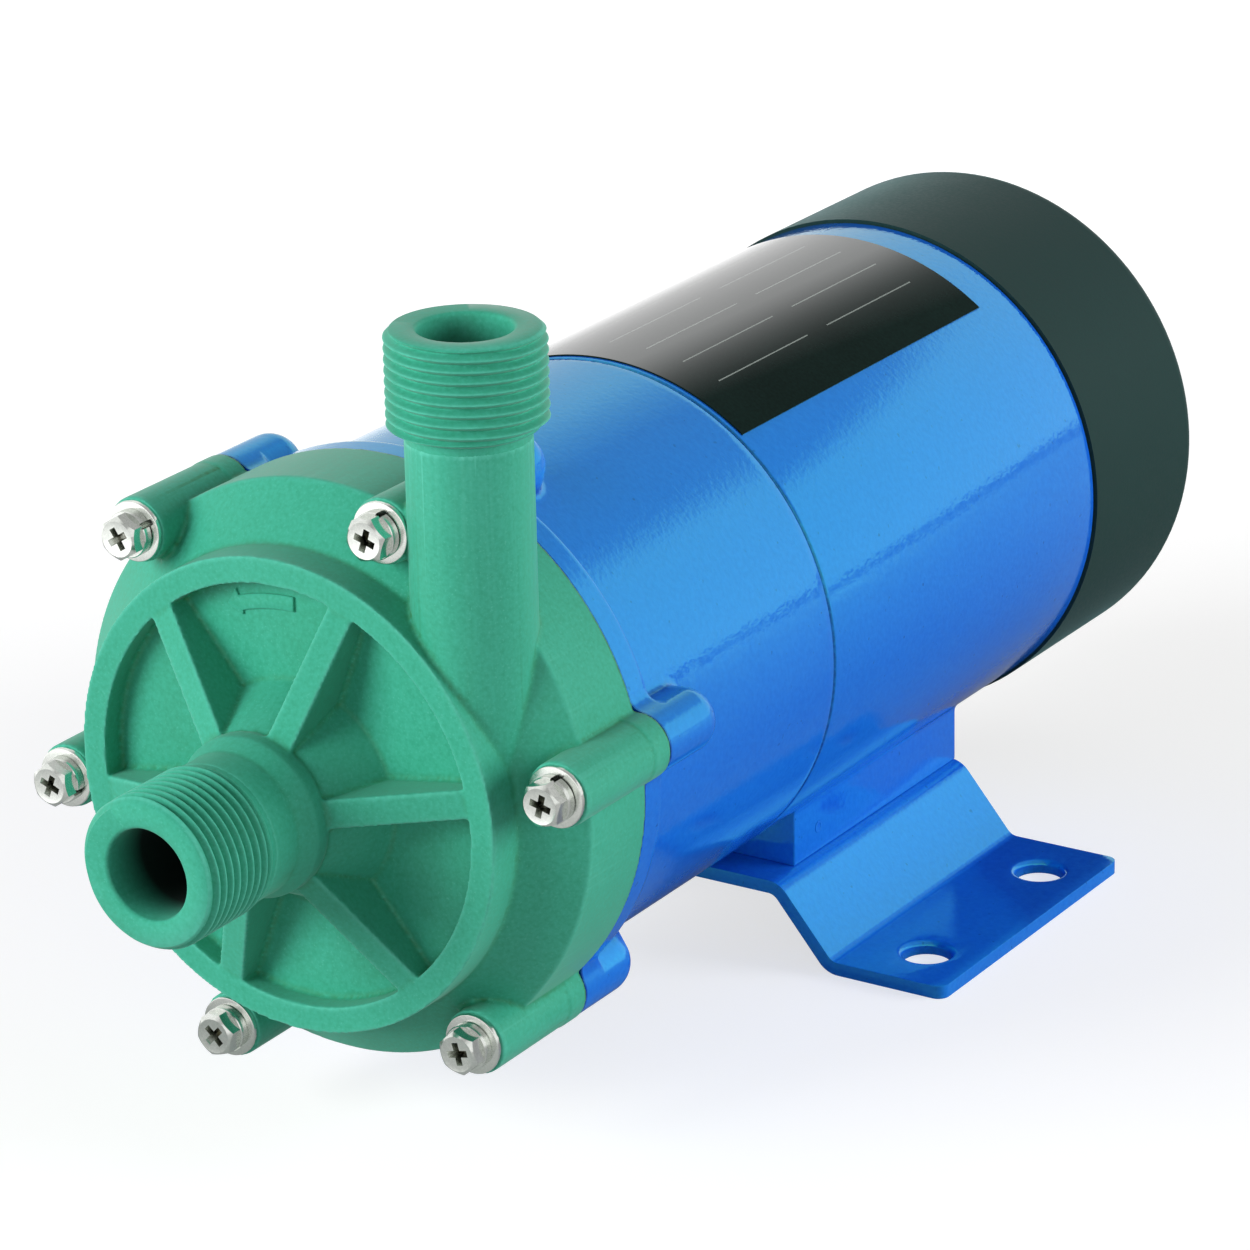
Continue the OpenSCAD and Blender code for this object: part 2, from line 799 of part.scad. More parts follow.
module rear_end_shield() {
    hub_d = bearing_d + 2 * bearing_land;
    color("#a9b0b5") along_shaft() difference() {
        union() {
            rod(housing_in - 2 * seat_gap, cover_z - shield_t, cover_z + spigot_len);
            rod(spigot_d, cover_z, cover_z + spigot_len);
            rod(hub_d, rear_bearing_z, cover_z);
        }
        rod(shaft_d + 2 * shaft_room, rear_bearing_z, cover_z + spigot_len + cut);
        rod(bearing_d + 2 * seat_gap, rear_bearing_z - cut, rear_bearing_end + spring_t);
        round_shaft(tie_count, tie_angle) translate([tie_r, 0, 0])
            rod(tie_d + 2 * screw_slack, cover_z - shield_t - cut, cover_z + spigot_len + cut);
        round_shaft(post_count, post_angle) translate([post_r, 0, 0])
            rod(post_screw_d + 2 * thread_gap, cover_z, cover_z + spigot_len + cut);
    }
}

module tie_bolts() {
    head_z = cover_z + spigot_len;
    color("#b9bec2") along_shaft() round_shaft(tie_count, tie_angle) translate([tie_r, 0, 0]) {
        hex_rod(tie_head_d, head_z, head_z + tie_head_h);
        rod(tie_d, seam + screw_short, head_z + cut);
    }
}

// Motor: bearings, stator and rotor

// Shielded ball bearing: the two rings stand proud of the closing shields
module ball_bearing(from) {
    ring_t = (bearing_d - shaft_d) / 8;
    shield_drop = 0.6;
    race_out = bearing_d - 2 * ring_t;
    race_in = shaft_d + 2 * ring_t;
    far = from + bearing_w;
    difference() {
        tube(bearing_d, shaft_d + 2 * run_gap, from, far);
        tube(race_out, race_in, from - cut, from + shield_drop);
        tube(race_out, race_in, far - shield_drop, far + cut);
    }
}

module front_bearing() {
    color("#cfd3d6") along_shaft() ball_bearing(front_bearing_z);
}

module rear_bearing() {
    color("#cfd3d6") along_shaft() ball_bearing(rear_bearing_z);
}

module bearing_spring() {
    spring_d = bearing_d - 2 * end_play;
    color("#b9bec2") along_shaft()
        tube(spring_d, spring_d - 2 * spring_w, rear_bearing_end, rear_bearing_end + spring_t);
}

module at_slots() {
    round_shaft(slot_count) translate([slot_r, 0, 0]) children();
}

module stator_core() {
    color("#6d7278") along_shaft() difference() {
        tube(housing_in - 2 * seat_gap, rotor_d + 2 * air_gap, stack_z, stack_end);
        at_slots() rod(slot_d, stack_z - cut, stack_end + cut);
        round_shaft(tie_count, tie_angle) translate([tie_r, 0, 0])
            rod(tie_d + 2 * screw_slack, stack_z - cut, stack_end + cut);
    }
}

module stator_windings() {
    color("#b8702e") along_shaft() {
        tube(winding_out, winding_in, stack_z - winding_reach, stack_z);
        tube(winding_out, winding_in, stack_end, stack_end + winding_reach);
        at_slots() rod(slot_d - 2 * seat_gap, stack_z - cut, stack_end + cut);
    }
}

module thermal_protector() {
    protector = [14, 5, 7];
    sink = 1;
    behind = 2;
    color("#d8d2c4") along_shaft() intersection() {
        translate([-protector.x / 2, sink - winding_out / 2 - protector.y, stack_end + behind])
            cube(protector);
        difference() {
            rod(winding_out + 2 * protector.y, stack_end, stack_end + winding_reach);
            rod(winding_out + 2 * seat_gap, stack_end - cut, stack_end + winding_reach + cut);
        }
    }
}

module motor_shaft() {
    color("#c2c7ca") along_shaft() {
        rod(shaft_d, yoke_back_z, rear_bearing_end + spring_t);
        rod(rotor_seat_d, front_bearing_z + bearing_w + end_play, rear_bearing_z - end_play);
        rod(fan_shaft_d, rear_bearing_end, fan_end);
    }
}

module rotor_core() {
    color("#7c8187") along_shaft() difference() {
        tube(rotor_d, rotor_seat_d + 2 * seat_gap, stack_z, stack_end);
        round_shaft(cage_bars) translate([cage_bar_r, 0, 0])
            rod(cage_bar_d + 2 * seat_gap, stack_z - cut, stack_end + cut);
    }
}

module rotor_cage() {
    ring_in = cage_ring_d - 2 * cage_ring_w;
    color("#c9cdd0") along_shaft() {
        tube(cage_ring_d, ring_in, stack_z - cage_ring_t, stack_z);
        tube(cage_ring_d, ring_in, stack_end, stack_end + cage_ring_t);
        round_shaft(cage_bars) translate([cage_bar_r, 0, 0])
            rod(cage_bar_d, stack_z - cut, stack_end + cut);
    }
}

// Fan and its cover

module cooling_fan() {
    blade = [fan_d / 2 - fan_rim, fan_blade_t, fan_end - fan_z - fan_blade_step];
    color("#33373a") along_shaft() difference() {
        union() {
            rod(fan_hub_d, fan_z, fan_end + fan_cap_t);
            rod(fan_d, fan_z, fan_z + fan_plate_t);
            round_shaft(fan_blades) translate([0, -fan_blade_t / 2, fan_z]) cube(blade);
        }
        rod(fan_shaft_d + 2 * seat_gap, fan_z - cut, fan_end + seat_gap);
    }
}

module cover_outside() {
    centre = [cover_d / 2 - cover_round, cover_end - cover_round];
    rotate_extrude() polygon(concat(
        [[0, cover_z], [cover_d / 2, cover_z]],
        [for (a = [0 : 10 : 90]) centre + cover_round * [cos(a), sin(a)]],
        [[0, cover_end]]
    ));
}

module cover_grille() {
    sector = 360 / grille_count - grille_web;
    for (i = [0 : grille_rings - 1])
        let (r = grille_in + i * (grille_slot + grille_bar))
        round_shaft(grille_count)
            ring_sector(r, r + grille_slot, cover_end - cover_wall - cut, cover_end + cut, sector);
}

module fan_cover() {
    post_end = cover_end - cover_wall;
    color("#3a4745") along_shaft() difference() {
        union() {
            difference() {
                cover_outside();
                rod(cover_in, cover_z - cut, cover_end - cover_round);
                rod(cover_in - 2 * cover_wall, cover_z, post_end);
            }
            round_shaft(post_count, post_angle) translate([post_r, 0, 0])
                rod(post_d, cover_z + spigot_len, post_end + cover_wall / 2);
        }
        cover_grille();
        round_shaft(post_count, post_angle) translate([post_r, 0, 0])
            rod(post_screw_d + 2 * screw_slack, cover_z, cover_end + cut);
    }
}

module cover_screws() {
    color("#b9bec2") along_shaft() round_shaft(post_count, post_angle) translate([post_r, 0, 0]) {
        rod(post_head_d, cover_end, cover_end + post_head_h);
        rod(post_screw_d, cover_z + blind_room, cover_end + cut);
    }
}

// Base plate, bent from one sheet

function arc(centre, r, from, to) =
    [
        for (i = [0 : bend_points])
            let (a = from + (to - from) * i / bend_points)
            centre + r * [cos(a), sin(a)]
    ];

// Right half of the sheet's section, from the top of its flat round the foot and back underneath
function sheet_half() =
    let (
        outer_r = bend_r + sheet_t,
        leg = (base_top - 2 * outer_r + (bend_r + outer_r) * cos(leg_slope)) / sin(leg_slope),
        upper = [base_top_w / 2, base_top - outer_r],
        lower = [upper.x + (bend_r + outer_r) * sin(leg_slope) + leg * cos(leg_slope), outer_r]
    )
    concat(
        arc(upper, outer_r, 90, 90 - leg_slope), arc(lower, bend_r, 270 - leg_slope, 270),
        [[base_w / 2, sheet_t], [base_w / 2, 0]],
        arc(lower, outer_r, 270, 270 - leg_slope), arc(upper, bend_r, 90 - leg_slope, 90)
    );

module foot_plan() {
    inner = [base_w, base_len] - 2 * foot_corner_r * [1, 1];
    square([inner.x, base_len], center = true);
    square([base_w, inner.y], center = true);
    for (x = [-1, 1], y = [-1, 1])
        translate([x * inner.x, y * inner.y] / 2) circle(r = foot_corner_r);
}

module base_plate() {
    half = sheet_half();
    last = len(half) - 1;
    color("#1f6fd6") difference() {
        intersection() {
            translate([0, base_len / 2 + cut, 0]) rotate([90, 0, 0]) linear_extrude(base_len + 2 * cut)
                polygon(concat(half, [for (i = [last : -1 : 0]) [-half[i].x, half[i].y]]));
            translate([0, 0, -cut]) linear_extrude(shaft_h) foot_plan();
        }
        for (x = [-1, 1], y = [-1, 1]) translate([x * hole_x / 2, y * hole_y / 2, 0])
            rod(hole_d, -cut, sheet_t + cut);
        along_shaft() at_base_screws() rod(base_screw_d + 2 * screw_slack, -sheet_t - cut, cut);
    }
}

module base_screws() {
    color("#b9bec2") along_shaft() at_base_screws() {
        hex_rod(base_screw_head_af, -sheet_t - base_screw_head_h, -sheet_t);
        rod(base_screw_d, -sheet_t - cut, base_screw_bite);
    }
}

// Cable gland and rating plate

module cable_gland() {
    wall_in = housing_in / 2;
    collar_from = body_d / 2 + inlet_collar_lift;
    collar_to = body_d / 2 + inlet_collar_t;
    tip = body_d / 2 + inlet_reach;
    color("#1d1f21") along_shaft() at_cable_inlet() difference() {
        union() {
            rod(inlet_hole_d, wall_in, collar_to);
            rod(inlet_collar_d, collar_from, collar_to);
            translate([0, 0, collar_to])
                cylinder(d1 = inlet_hole_d, d2 = cable_d + 2 * gland_wall, h = tip - collar_to);
        }
        rod(cable_d, wall_in - cut, tip + cut);
    }
}

module rating_plate() {
    inner_r = body_d / 2 + plate_lift;
    front = seam + plate_after_seam;
    color("#2d3034") along_shaft() rotate(-90 - plate_angle / 2)
        ring_sector(inner_r, inner_r + plate_t, front, front + plate_len, plate_angle);
}

front_casing();
casing_screws();
split_washers();
flat_washers();
casing_seal();
rear_casing();
spindle();
front_thrust_ring();
rear_thrust_ring();
impeller();
impeller_shroud();
impeller_bush();
magnet_capsule();
inner_magnet();
bracket();
bracket_screws();
drive_yoke();
drive_magnets();
drive_grub_screw();
motor_housing();
front_end_shield();
rear_end_shield();
front_bearing();
rear_bearing();
bearing_spring();
stator_core();
stator_windings();
thermal_protector();
tie_bolts();
motor_shaft();
rotor_core();
rotor_cage();
cooling_fan();
fan_cover();
cover_screws();
base_plate();
base_screws();
cable_gland();
rating_plate();
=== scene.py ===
import math

import bmesh
import bpy
import numpy as np
from mathutils import Matrix, Vector


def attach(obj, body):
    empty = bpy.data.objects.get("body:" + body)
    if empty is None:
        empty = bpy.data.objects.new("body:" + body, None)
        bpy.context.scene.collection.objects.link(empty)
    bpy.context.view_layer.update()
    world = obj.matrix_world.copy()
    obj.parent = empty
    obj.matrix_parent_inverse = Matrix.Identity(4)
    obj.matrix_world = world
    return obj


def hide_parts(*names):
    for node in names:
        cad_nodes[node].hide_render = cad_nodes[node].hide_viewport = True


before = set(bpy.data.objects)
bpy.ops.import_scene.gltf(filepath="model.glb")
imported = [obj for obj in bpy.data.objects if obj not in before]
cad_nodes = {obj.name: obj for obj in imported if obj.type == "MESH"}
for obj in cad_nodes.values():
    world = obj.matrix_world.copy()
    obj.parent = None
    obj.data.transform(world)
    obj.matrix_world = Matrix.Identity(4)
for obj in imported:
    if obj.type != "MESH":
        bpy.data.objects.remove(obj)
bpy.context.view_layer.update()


# Base plate: one strip of steel sheet, bent twice on each side into a foot with two bolt holes,
# then sprayed blue together with the motor. The spray leaves every cut edge slightly rounded.
MM = 0.001
JOINT_Y = -108.2
SEAM_AT = 66.8
SHEET = 2.5
BASE_HALF_LENGTH = 33.9
FOOT_CORNER = 2.2
TOP_BEND = (29.0, 10.7)
FOOT_BEND = (43.5, 5.0)
FOOT_END = 65.3
BEND_MID_RADIUS = 3.75
LEG_ANGLE = 50.0
BOLT_HOLES = [(55.0, 21.5), (55.0, -21.5), (-55.0, 21.5), (-55.0, -21.5)]
BOLT_HOLE_RADIUS = 4.5
HOLE_RIM = 1.1
BEND_STEPS = 10
CORNER_STEPS = 8
ORIGIN = (0.0, 0.0, 0.0)


def make_piece(name, shells):
    """One object from closed shells, each given as points in millimetres and faces."""
    points = []
    faces = []
    for shell_points, shell_faces in shells:
        first = len(points)
        points.extend([x * MM, y * MM, z * MM] for x, y, z in shell_points)
        faces.extend([first + i for i in face] for face in shell_faces)
    mesh = bpy.data.meshes.new(name)
    mesh.from_pydata(points, [], faces)
    work = bmesh.new()
    work.from_mesh(mesh)
    bmesh.ops.recalc_face_normals(work, faces=work.faces)
    work.to_mesh(mesh)
    work.free()
    piece = bpy.data.objects.new(name, mesh)
    bpy.context.scene.collection.objects.link(piece)
    return piece


def settle(piece):
    """Turns what the modifiers make into the piece's plain mesh."""
    bpy.context.view_layer.update()
    graph = bpy.context.evaluated_depsgraph_get()
    plain = bpy.data.meshes.new_from_object(piece.evaluated_get(graph), depsgraph=graph)
    old = piece.data
    piece.modifiers.clear()
    piece.data = plain
    bpy.data.meshes.remove(old)


def cut_out(piece, *shells):
    """Cuts closed shells out of a piece."""
    tool = make_piece("tool", shells)
    step = piece.modifiers.new("cut", "BOOLEAN")
    step.operation = "DIFFERENCE"
    step.solver = "MANIFOLD"
    step.object = tool
    settle(piece)
    bpy.data.objects.remove(tool)


def soften(piece, width, segments=3, angle=40.0):
    """Rounds the sharp edges of a piece by a width in millimetres."""
    step = piece.modifiers.new("rounded", "BEVEL")
    step.width = width * MM
    step.segments = segments
    step.limit_method = "ANGLE"
    step.angle_limit = math.radians(angle)
    step.use_clamp_overlap = True
    settle(piece)


def shade(piece, angle=35.0):
    """Smooth shading with hard edges only above an angle in degrees."""
    piece.data.shade_smooth()
    piece.data.set_sharp_from_angle(angle=math.radians(angle))


def skin(rows, ring=False):
    """A closed shell over rows of points that run once round; a row of one point is the tip of a fan."""
    points = []
    numbers = []
    for row in rows:
        numbers.append(list(range(len(points), len(points) + len(row))))
        points.extend(row)
    steps = max(len(row) for row in rows)
    following = numbers[1:] + numbers[:1] if ring else numbers[1:]
    faces = []
    for low, high in zip(numbers, following):
        for i in range(steps):
            k = (i + 1) % steps
            corners = [low[i % len(low)], low[k % len(low)], high[k % len(high)], high[i % len(high)]]
            faces.append(list(dict.fromkeys(corners)))
    if not ring:
        faces.extend(end for end in (numbers[0][::-1], numbers[-1]) if len(end) > 1)
    return points, faces


def round_row(radius, station, place, steps):
    """Points evenly round an axis; radius and station hold for all of them, or each has its own."""
    turns = 2 * np.pi * np.arange(steps) / steps
    spots = np.broadcast(radius, station, turns)
    return [place(out * math.cos(turn), out * math.sin(turn), at) for out, at, turn in spots]


def turned_shell(profile, place, steps=128, ring=False):
    """A turned closed shell from radius and station pairs, where radius 0 is a tip on the axis."""
    return skin([round_row(radius, at, place, steps if radius else 1) for radius, at in profile], ring)


def corner_arc(centre, radius, start, end, count=5):
    """Points of a rounded corner, from one angle to another in degrees."""
    turns = [math.radians(start + (end - start) * i / count) for i in range(count + 1)]
    return [(centre[0] + radius * math.cos(t), centre[1] + radius * math.sin(t)) for t in turns]


def sheet_faces(wide, tall):
    """Faces of a closed sheet: a grid of points on top, the same grid below, and the four edges."""
    under = wide * tall
    faces = []
    for j in range(tall - 1):
        for k in range(wide - 1):
            a = j * wide + k
            faces.append([a, a + 1, a + wide + 1, a + wide])
            faces.append([under + a, under + a + wide, under + a + wide + 1, under + a + 1])
    rim = []
    for k in range(wide - 1):
        rim += [(k, k + 1), ((tall - 1) * wide + k + 1, (tall - 1) * wide + k)]
    for j in range(tall - 1):
        rim += [((j + 1) * wide, j * wide), ((j + 1) * wide - 1, (j + 2) * wide - 1)]
    return faces + [[b, a, under + a, under + b] for a, b in rim]


def put(tree, socket, value):
    """Wires an input to another socket, or sets it; None leaves it as it is."""
    if isinstance(value, bpy.types.NodeSocket):
        tree.links.new(value, socket)
    elif value is not None:
        socket.default_value = value


def shader_group(name, given, results):
    """An empty shader group with named inputs, which are numbers or vectors, and value outputs."""
    group = bpy.data.node_groups.new(name, "ShaderNodeTree")
    for label, value in given.items():
        kind = "NodeSocketFloat" if isinstance(value, float) else "NodeSocketVector"
        group.interface.new_socket(label, in_out="INPUT", socket_type=kind).default_value = value
    for label in results:
        group.interface.new_socket(label, in_out="OUTPUT", socket_type="NodeSocketFloat")
    return group, group.nodes.new("NodeGroupInput").outputs, group.nodes.new("NodeGroupOutput").inputs


def remap(tree, value, low, high, to_low=0.0, to_high=1.0):
    """Stretches a value from one span to another, clamped."""
    node = tree.nodes.new("ShaderNodeMapRange")
    for socket, amount in zip(node.inputs, (value, low, high, to_low, to_high)):
        put(tree, socket, amount)
    return node.outputs["Result"]


def reckon(tree, operation, first, second=None):
    """One sum on values, where each is a socket or a number."""
    node = tree.nodes.new("ShaderNodeMath")
    node.operation = operation
    put(tree, node.inputs[0], first)
    put(tree, node.inputs[1], second)
    return node.outputs["Value"]


def mix_colour(tree, share, first, second):
    """Mixes two colours, each a socket or three numbers."""
    node = tree.nodes.new("ShaderNodeMix")
    node.data_type = "RGBA"
    put(tree, node.inputs[0], share)
    for socket, colour in ((node.inputs[6], first), (node.inputs[7], second)):
        put(tree, socket, (*colour, 1.0) if isinstance(colour, tuple) else colour)
    return node.outputs[2]


def mottle(tree, vector, scale, detail=2.0):
    """Noise on a vector, where the scale is a socket or a number."""
    node = tree.nodes.new("ShaderNodeTexNoise")
    for label, value in (("Vector", vector), ("Scale", scale), ("Detail", detail)):
        put(tree, node.inputs[label], value)
    return node.outputs["Fac"]


surface_texture, given, result = shader_group(
    "surface_texture", {"Vector": ORIGIN, "Coarse": 40.0, "Fine": 800.0, "Fine Share": 0.5},
    ["Tone", "Height"])
coarse = mottle(surface_texture, given["Vector"], given["Coarse"], 4.0)
fine = mottle(surface_texture, given["Vector"], given["Fine"])
coarse_share = reckon(surface_texture, "SUBTRACT", 1.0, given["Fine Share"])
coarse_part = reckon(surface_texture, "MULTIPLY", coarse, coarse_share)
fine_part = reckon(surface_texture, "MULTIPLY", fine, given["Fine Share"])
height = reckon(surface_texture, "ADD", coarse_part, fine_part)
put(surface_texture, result["Height"], height)
put(surface_texture, result["Tone"], remap(surface_texture, height, 0.33, 0.67))

# Painted edge shading: a lighter colour on outer edges is a painted highlight, a darker one in corners and
# recesses is painted shade, and along seams it draws a dark seam line.
painted_edge_shading, given, result = shader_group(
    "painted_edge_shading", {"Vector": ORIGIN, "Break Up": 900.0}, ["Mask", "Shade_And_Seam"])
edge = painted_edge_shading.nodes.new("ShaderNodeAttribute")
edge.attribute_name = "edge"
broken = mottle(painted_edge_shading, given["Vector"], given["Break Up"])
patchy = remap(painted_edge_shading, broken, 0.3, 0.6, 0.45, 1.0)
for label, full in (("Mask", 1.0), ("Shade_And_Seam", -1.0)):
    amount = remap(painted_edge_shading, edge.outputs["Fac"], 0.0, full)
    put(painted_edge_shading, result[label], reckon(painted_edge_shading, "MULTIPLY", amount, patchy))

specks, given, result = shader_group(
    "specks", {"Vector": ORIGIN, "Size": 2600.0, "Least": 0.62, "Full": 0.74}, ["Mask"])
dots = mottle(specks, given["Vector"], given["Size"], 1.0)
patches = remap(specks, mottle(specks, given["Vector"], 90.0, 3.0), 0.35, 0.65, 0.3, 1.0)
strength = remap(specks, dots, given["Least"], given["Full"], 0.0, 0.7)
put(specks, result["Mask"], reckon(specks, "MULTIPLY", strength, patches))


def place_group(tree, group, **values):
    """Adds a shader group that is read at each point of the object, and gives what it puts out."""
    node = tree.nodes.new("ShaderNodeGroup")
    node.node_tree = group
    put(tree, node.inputs["Vector"], tree.nodes.new("ShaderNodeTexCoord").outputs["Object"])
    for label, value in values.items():
        put(tree, node.inputs[label.replace("_", " ")], value)
    return node.outputs


def recolour(tree, share, tint):
    """Mixes a tint into a material's colour."""
    base = tree.nodes["Principled BSDF"].inputs["Base Color"]
    put(tree, base, mix_colour(tree, share, base.links[0].from_socket, tint))


def add_relief(tree, height, depth):
    """Adds relief of a depth in millimetres to the relief that a material has."""
    normal = tree.nodes["Principled BSDF"].inputs["Normal"]
    bump = tree.nodes.new("ShaderNodeBump")
    put(tree, bump.inputs["Distance"], depth * MM)
    put(tree, bump.inputs["Height"], height)
    if normal.is_linked:
        put(tree, bump.inputs["Normal"], normal.links[0].from_socket)
    put(tree, normal, bump.outputs["Normal"])


def finish(name, dark, light, rough, scales, fine_share, relief, painted_edge_colours=None, **fixed):
    """A material whose colour, roughness and relief follow the shared surface texture; edge colours, when
    given, paint a highlight on outer edges and shade in creases and recesses, and darken seams.
    """
    material = bpy.data.materials.new(name)
    material.use_nodes = True
    tree = material.node_tree
    inputs = tree.nodes["Principled BSDF"].inputs
    texture = place_group(tree, surface_texture, Coarse=scales[0], Fine=scales[1], Fine_Share=fine_share)
    put(tree, inputs["Base Color"], mix_colour(tree, texture["Tone"], dark, light))
    # Painted highlight on outer edges, painted shade in creases and recesses, dark seam lines.
    if painted_edge_colours:
        rim = place_group(tree, painted_edge_shading)
        recolour(tree, rim["Mask"], painted_edge_colours[0])
        recolour(tree, rim["Shade_And_Seam"], painted_edge_colours[1])
    put(tree, inputs["Roughness"], remap(tree, texture["Tone"], 0.0, 1.0, *rough))
    add_relief(tree, texture["Height"], relief)
    for label, value in fixed.items():
        put(tree, inputs[label.replace("_", " ")], value)
    return material


def add_specks(material, size, least, full, tint):
    """Strews small specks of another tint over a finished material."""
    tree = material.node_tree
    recolour(tree, place_group(tree, specks, Size=size, Least=least, Full=full)["Mask"], tint)
    return material


# The blue's edge colours are a painted highlight on edges and painted shade in creases, and they darken the
# seams.
blue_paint = add_specks(finish(
    "blue_paint", (0.008, 0.122, 0.70), (0.011, 0.150, 0.76), (0.05, 0.09), (60.0, 1000.0), 0.85, 0.045,
    painted_edge_colours=((0.02, 0.24, 0.84), (0.003, 0.012, 0.36)),
    IOR=2.6, Specular_Tint=(0.12, 1.0, 0.7, 1.0),
), 750.0, 0.735, 0.78, (0.004, 0.03, 0.28))


def read_array(items, name, width, kind=float):
    """One named value of all points or edges of a mesh, in rows."""
    values = np.empty(len(items) * width, dtype=kind)
    items.foreach_get(name, values)
    return values.reshape(-1, width)


def edge_values(piece, rounds, full):
    """How far each point stands out on an outer edge, to 1, or lies back in a corner, to -1; seams are set
    to -1. These values paint a highlight on edges and shade in corners.
    """
    mesh = piece.data
    count = len(mesh.vertices)
    points = read_array(mesh.vertices, "co", 3)
    normals = read_array(mesh.vertices, "normal", 3)
    ends = read_array(mesh.edges, "vertices", 2, np.int32)
    here = np.concatenate([ends[:, 0], ends[:, 1]])
    there = np.concatenate([ends[:, 1], ends[:, 0]])
    number = np.maximum(np.bincount(here, minlength=count), 1)
    eased = points.copy()
    for _ in range(rounds):
        sums = [np.bincount(here, weights=eased[there, k], minlength=count) for k in range(3)]
        eased = 0.5 * eased + 0.5 * np.stack(sums, axis=1) / number[:, None]
    stand_out = np.einsum("ij,ij->i", points - eased, normals)
    values = np.clip(stand_out / (full * MM), -1.0, 1.0)
    for station, reach in ((JOINT_Y, 1.2), (JOINT_Y + SEAM_AT, 1.0)):
        away = np.abs(points[:, 1] - station * MM)
        values = np.where(away < reach * MM, np.where(away < 0.4 * MM, -1.0, 0.0), values)
    return values


def store_edges(piece, values):
    """Keeps edge values in an attribute that the painted edge shading reads; points without one get none."""
    filled = np.zeros(len(piece.data.vertices), dtype=np.float32)
    filled[:len(values)] = values
    layer = piece.data.attributes.new("edge", "FLOAT", "POINT")
    layer.data.foreach_set("value", filled)


def hand_over(piece, body, slot, material, *names):
    """Gives a finished piece its material, the body it moves with and the nodes it stands for."""
    piece.data.materials.clear()
    piece.data.materials.append(material)
    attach(piece, body)
    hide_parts(*names)


def bent_sheet():
    """The strip as a grid along its bent section and across its length, with rounded foot corners."""
    top_steps = 5
    foot_steps = 8
    half = [(TOP_BEND[0] * i / top_steps, TOP_BEND[1] + BEND_MID_RADIUS, 0.0) for i in range(top_steps)]
    for bend, flat, first, last in ((TOP_BEND, 90.0, 0.0, -LEG_ANGLE), (FOOT_BEND, 270.0, -LEG_ANGLE, 0.0)):
        for i in range(BEND_STEPS + 1):
            slope = math.radians(first + (last - first) * i / BEND_STEPS)
            turn = math.radians(flat) + slope
            x = bend[0] + BEND_MID_RADIUS * math.cos(turn)
            z = bend[1] + BEND_MID_RADIUS * math.sin(turn)
            half.append((x, z, slope))
    foot_run = FOOT_END - FOOT_BEND[0]
    for i in range(1, foot_steps + 1):
        half.append((FOOT_BEND[0] + foot_run * i / foot_steps, SHEET / 2, 0.0))
    straight = BASE_HALF_LENGTH - FOOT_CORNER
    quarter = math.pi / 2 / CORNER_STEPS
    corner = [straight + FOOT_CORNER * math.sin(quarter * i) for i in range(1, CORNER_STEPS + 1)]
    middle = [straight * i / 5 for i in range(-5, 6)]
    rows = [-y for y in corner[::-1]] + middle + corner
    section = [(-x, z, -slope) for x, z, slope in half[:0:-1]] + half
    points = []
    for side in (SHEET / 2, -SHEET / 2):
        for y in rows:
            past = max(abs(y) - straight, 0.0)
            inset = FOOT_CORNER - math.sqrt(max(FOOT_CORNER ** 2 - past ** 2, 0.0))
            share = (foot_run - inset) / foot_run
            for x, z, slope in section:
                if abs(x) > FOOT_BEND[0]:
                    x = math.copysign(FOOT_BEND[0] + (abs(x) - FOOT_BEND[0]) * share, x)
                points.append((x - side * math.sin(slope), y, z + side * math.cos(slope)))
    return points, sheet_faces(len(section), len(rows))


base_plate = make_piece("base_plate_sheet", [bent_sheet()])
soften(base_plate, 0.45)
rim_outer = BOLT_HOLE_RADIUS + HOLE_RIM
hole_line = [(BOLT_HOLE_RADIUS, -2.0)]
hole_line += corner_arc((rim_outer, SHEET - HOLE_RIM), HOLE_RIM, 180.0, 90.0)
hole_line.append((rim_outer, SHEET + 2.0))
for x, y in BOLT_HOLES:
    cut_out(base_plate, turned_shell(hole_line, lambda across, along, up: (x + across, y + along, up), 48))
shade(base_plate)
store_edges(base_plate, edge_values(base_plate, 2, 0.25))
hand_over(base_plate, "pump_body", "blue_paint", blue_paint, "base_plate")


# Base screws: four zinc-plated screws come up through the plate into the motor's pad. Their heads
# sit under the plate, where only a view from below finds them.
# Zinc edge colours: a painted highlight on edges, and painted shade down in the cross recesses.
zinc = finish(
    "zinc_plate", (0.70, 0.73, 0.69), (0.86, 0.89, 0.84), (0.14, 0.24), (300.0, 2600.0), 0.5, 0.006,
    painted_edge_colours=((0.90, 0.92, 0.88), (0.09, 0.085, 0.05)), Metallic=1.0,
)


def dress(material, *names):
    """Gives CAD nodes that stay as they are a finished material."""
    for name in names:
        skins = cad_nodes[name].data.materials
        skins.clear()
        skins.append(material)


dress(zinc, "base_screws")


# Motor housing: a die-cast tube with a flat pad underneath, machined at both ends where the bracket
# and the rear cover sit, and sprayed gloss blue. The pad runs into the tube with a small fillet.
SHAFT_Z = 64.0
BODY_RADIUS = 48.0
HOUSING_BORE = 44.0
COVER_AT = 163.9
SEAM_ROUND = 0.7
PAD_HALF_WIDTH = 30.0
PAD_Y = (-26.1, 33.9)
PAD_BOTTOM = 15.7
PAD_FILLET = 2.2
PIN_MARK = (-17.5, 20.4)
PIN_LINE = [(0.0, -1.0), (1.15, -1.0), (1.15, 0.10), (0.95, 0.16), (0.75, 0.10), (0.70, 0.02), (0.0, 0.02)]
PAD_ROOT_HALF = 24.0
PAD_ROOT_RADIUS = 46.0
PAD_ROOT_MIDDLE = -45.0


def on_shaft(x, up, along):
    """A point of the shaft's own axes, in millimetres."""
    return x, JOINT_Y + along, SHAFT_Z + up


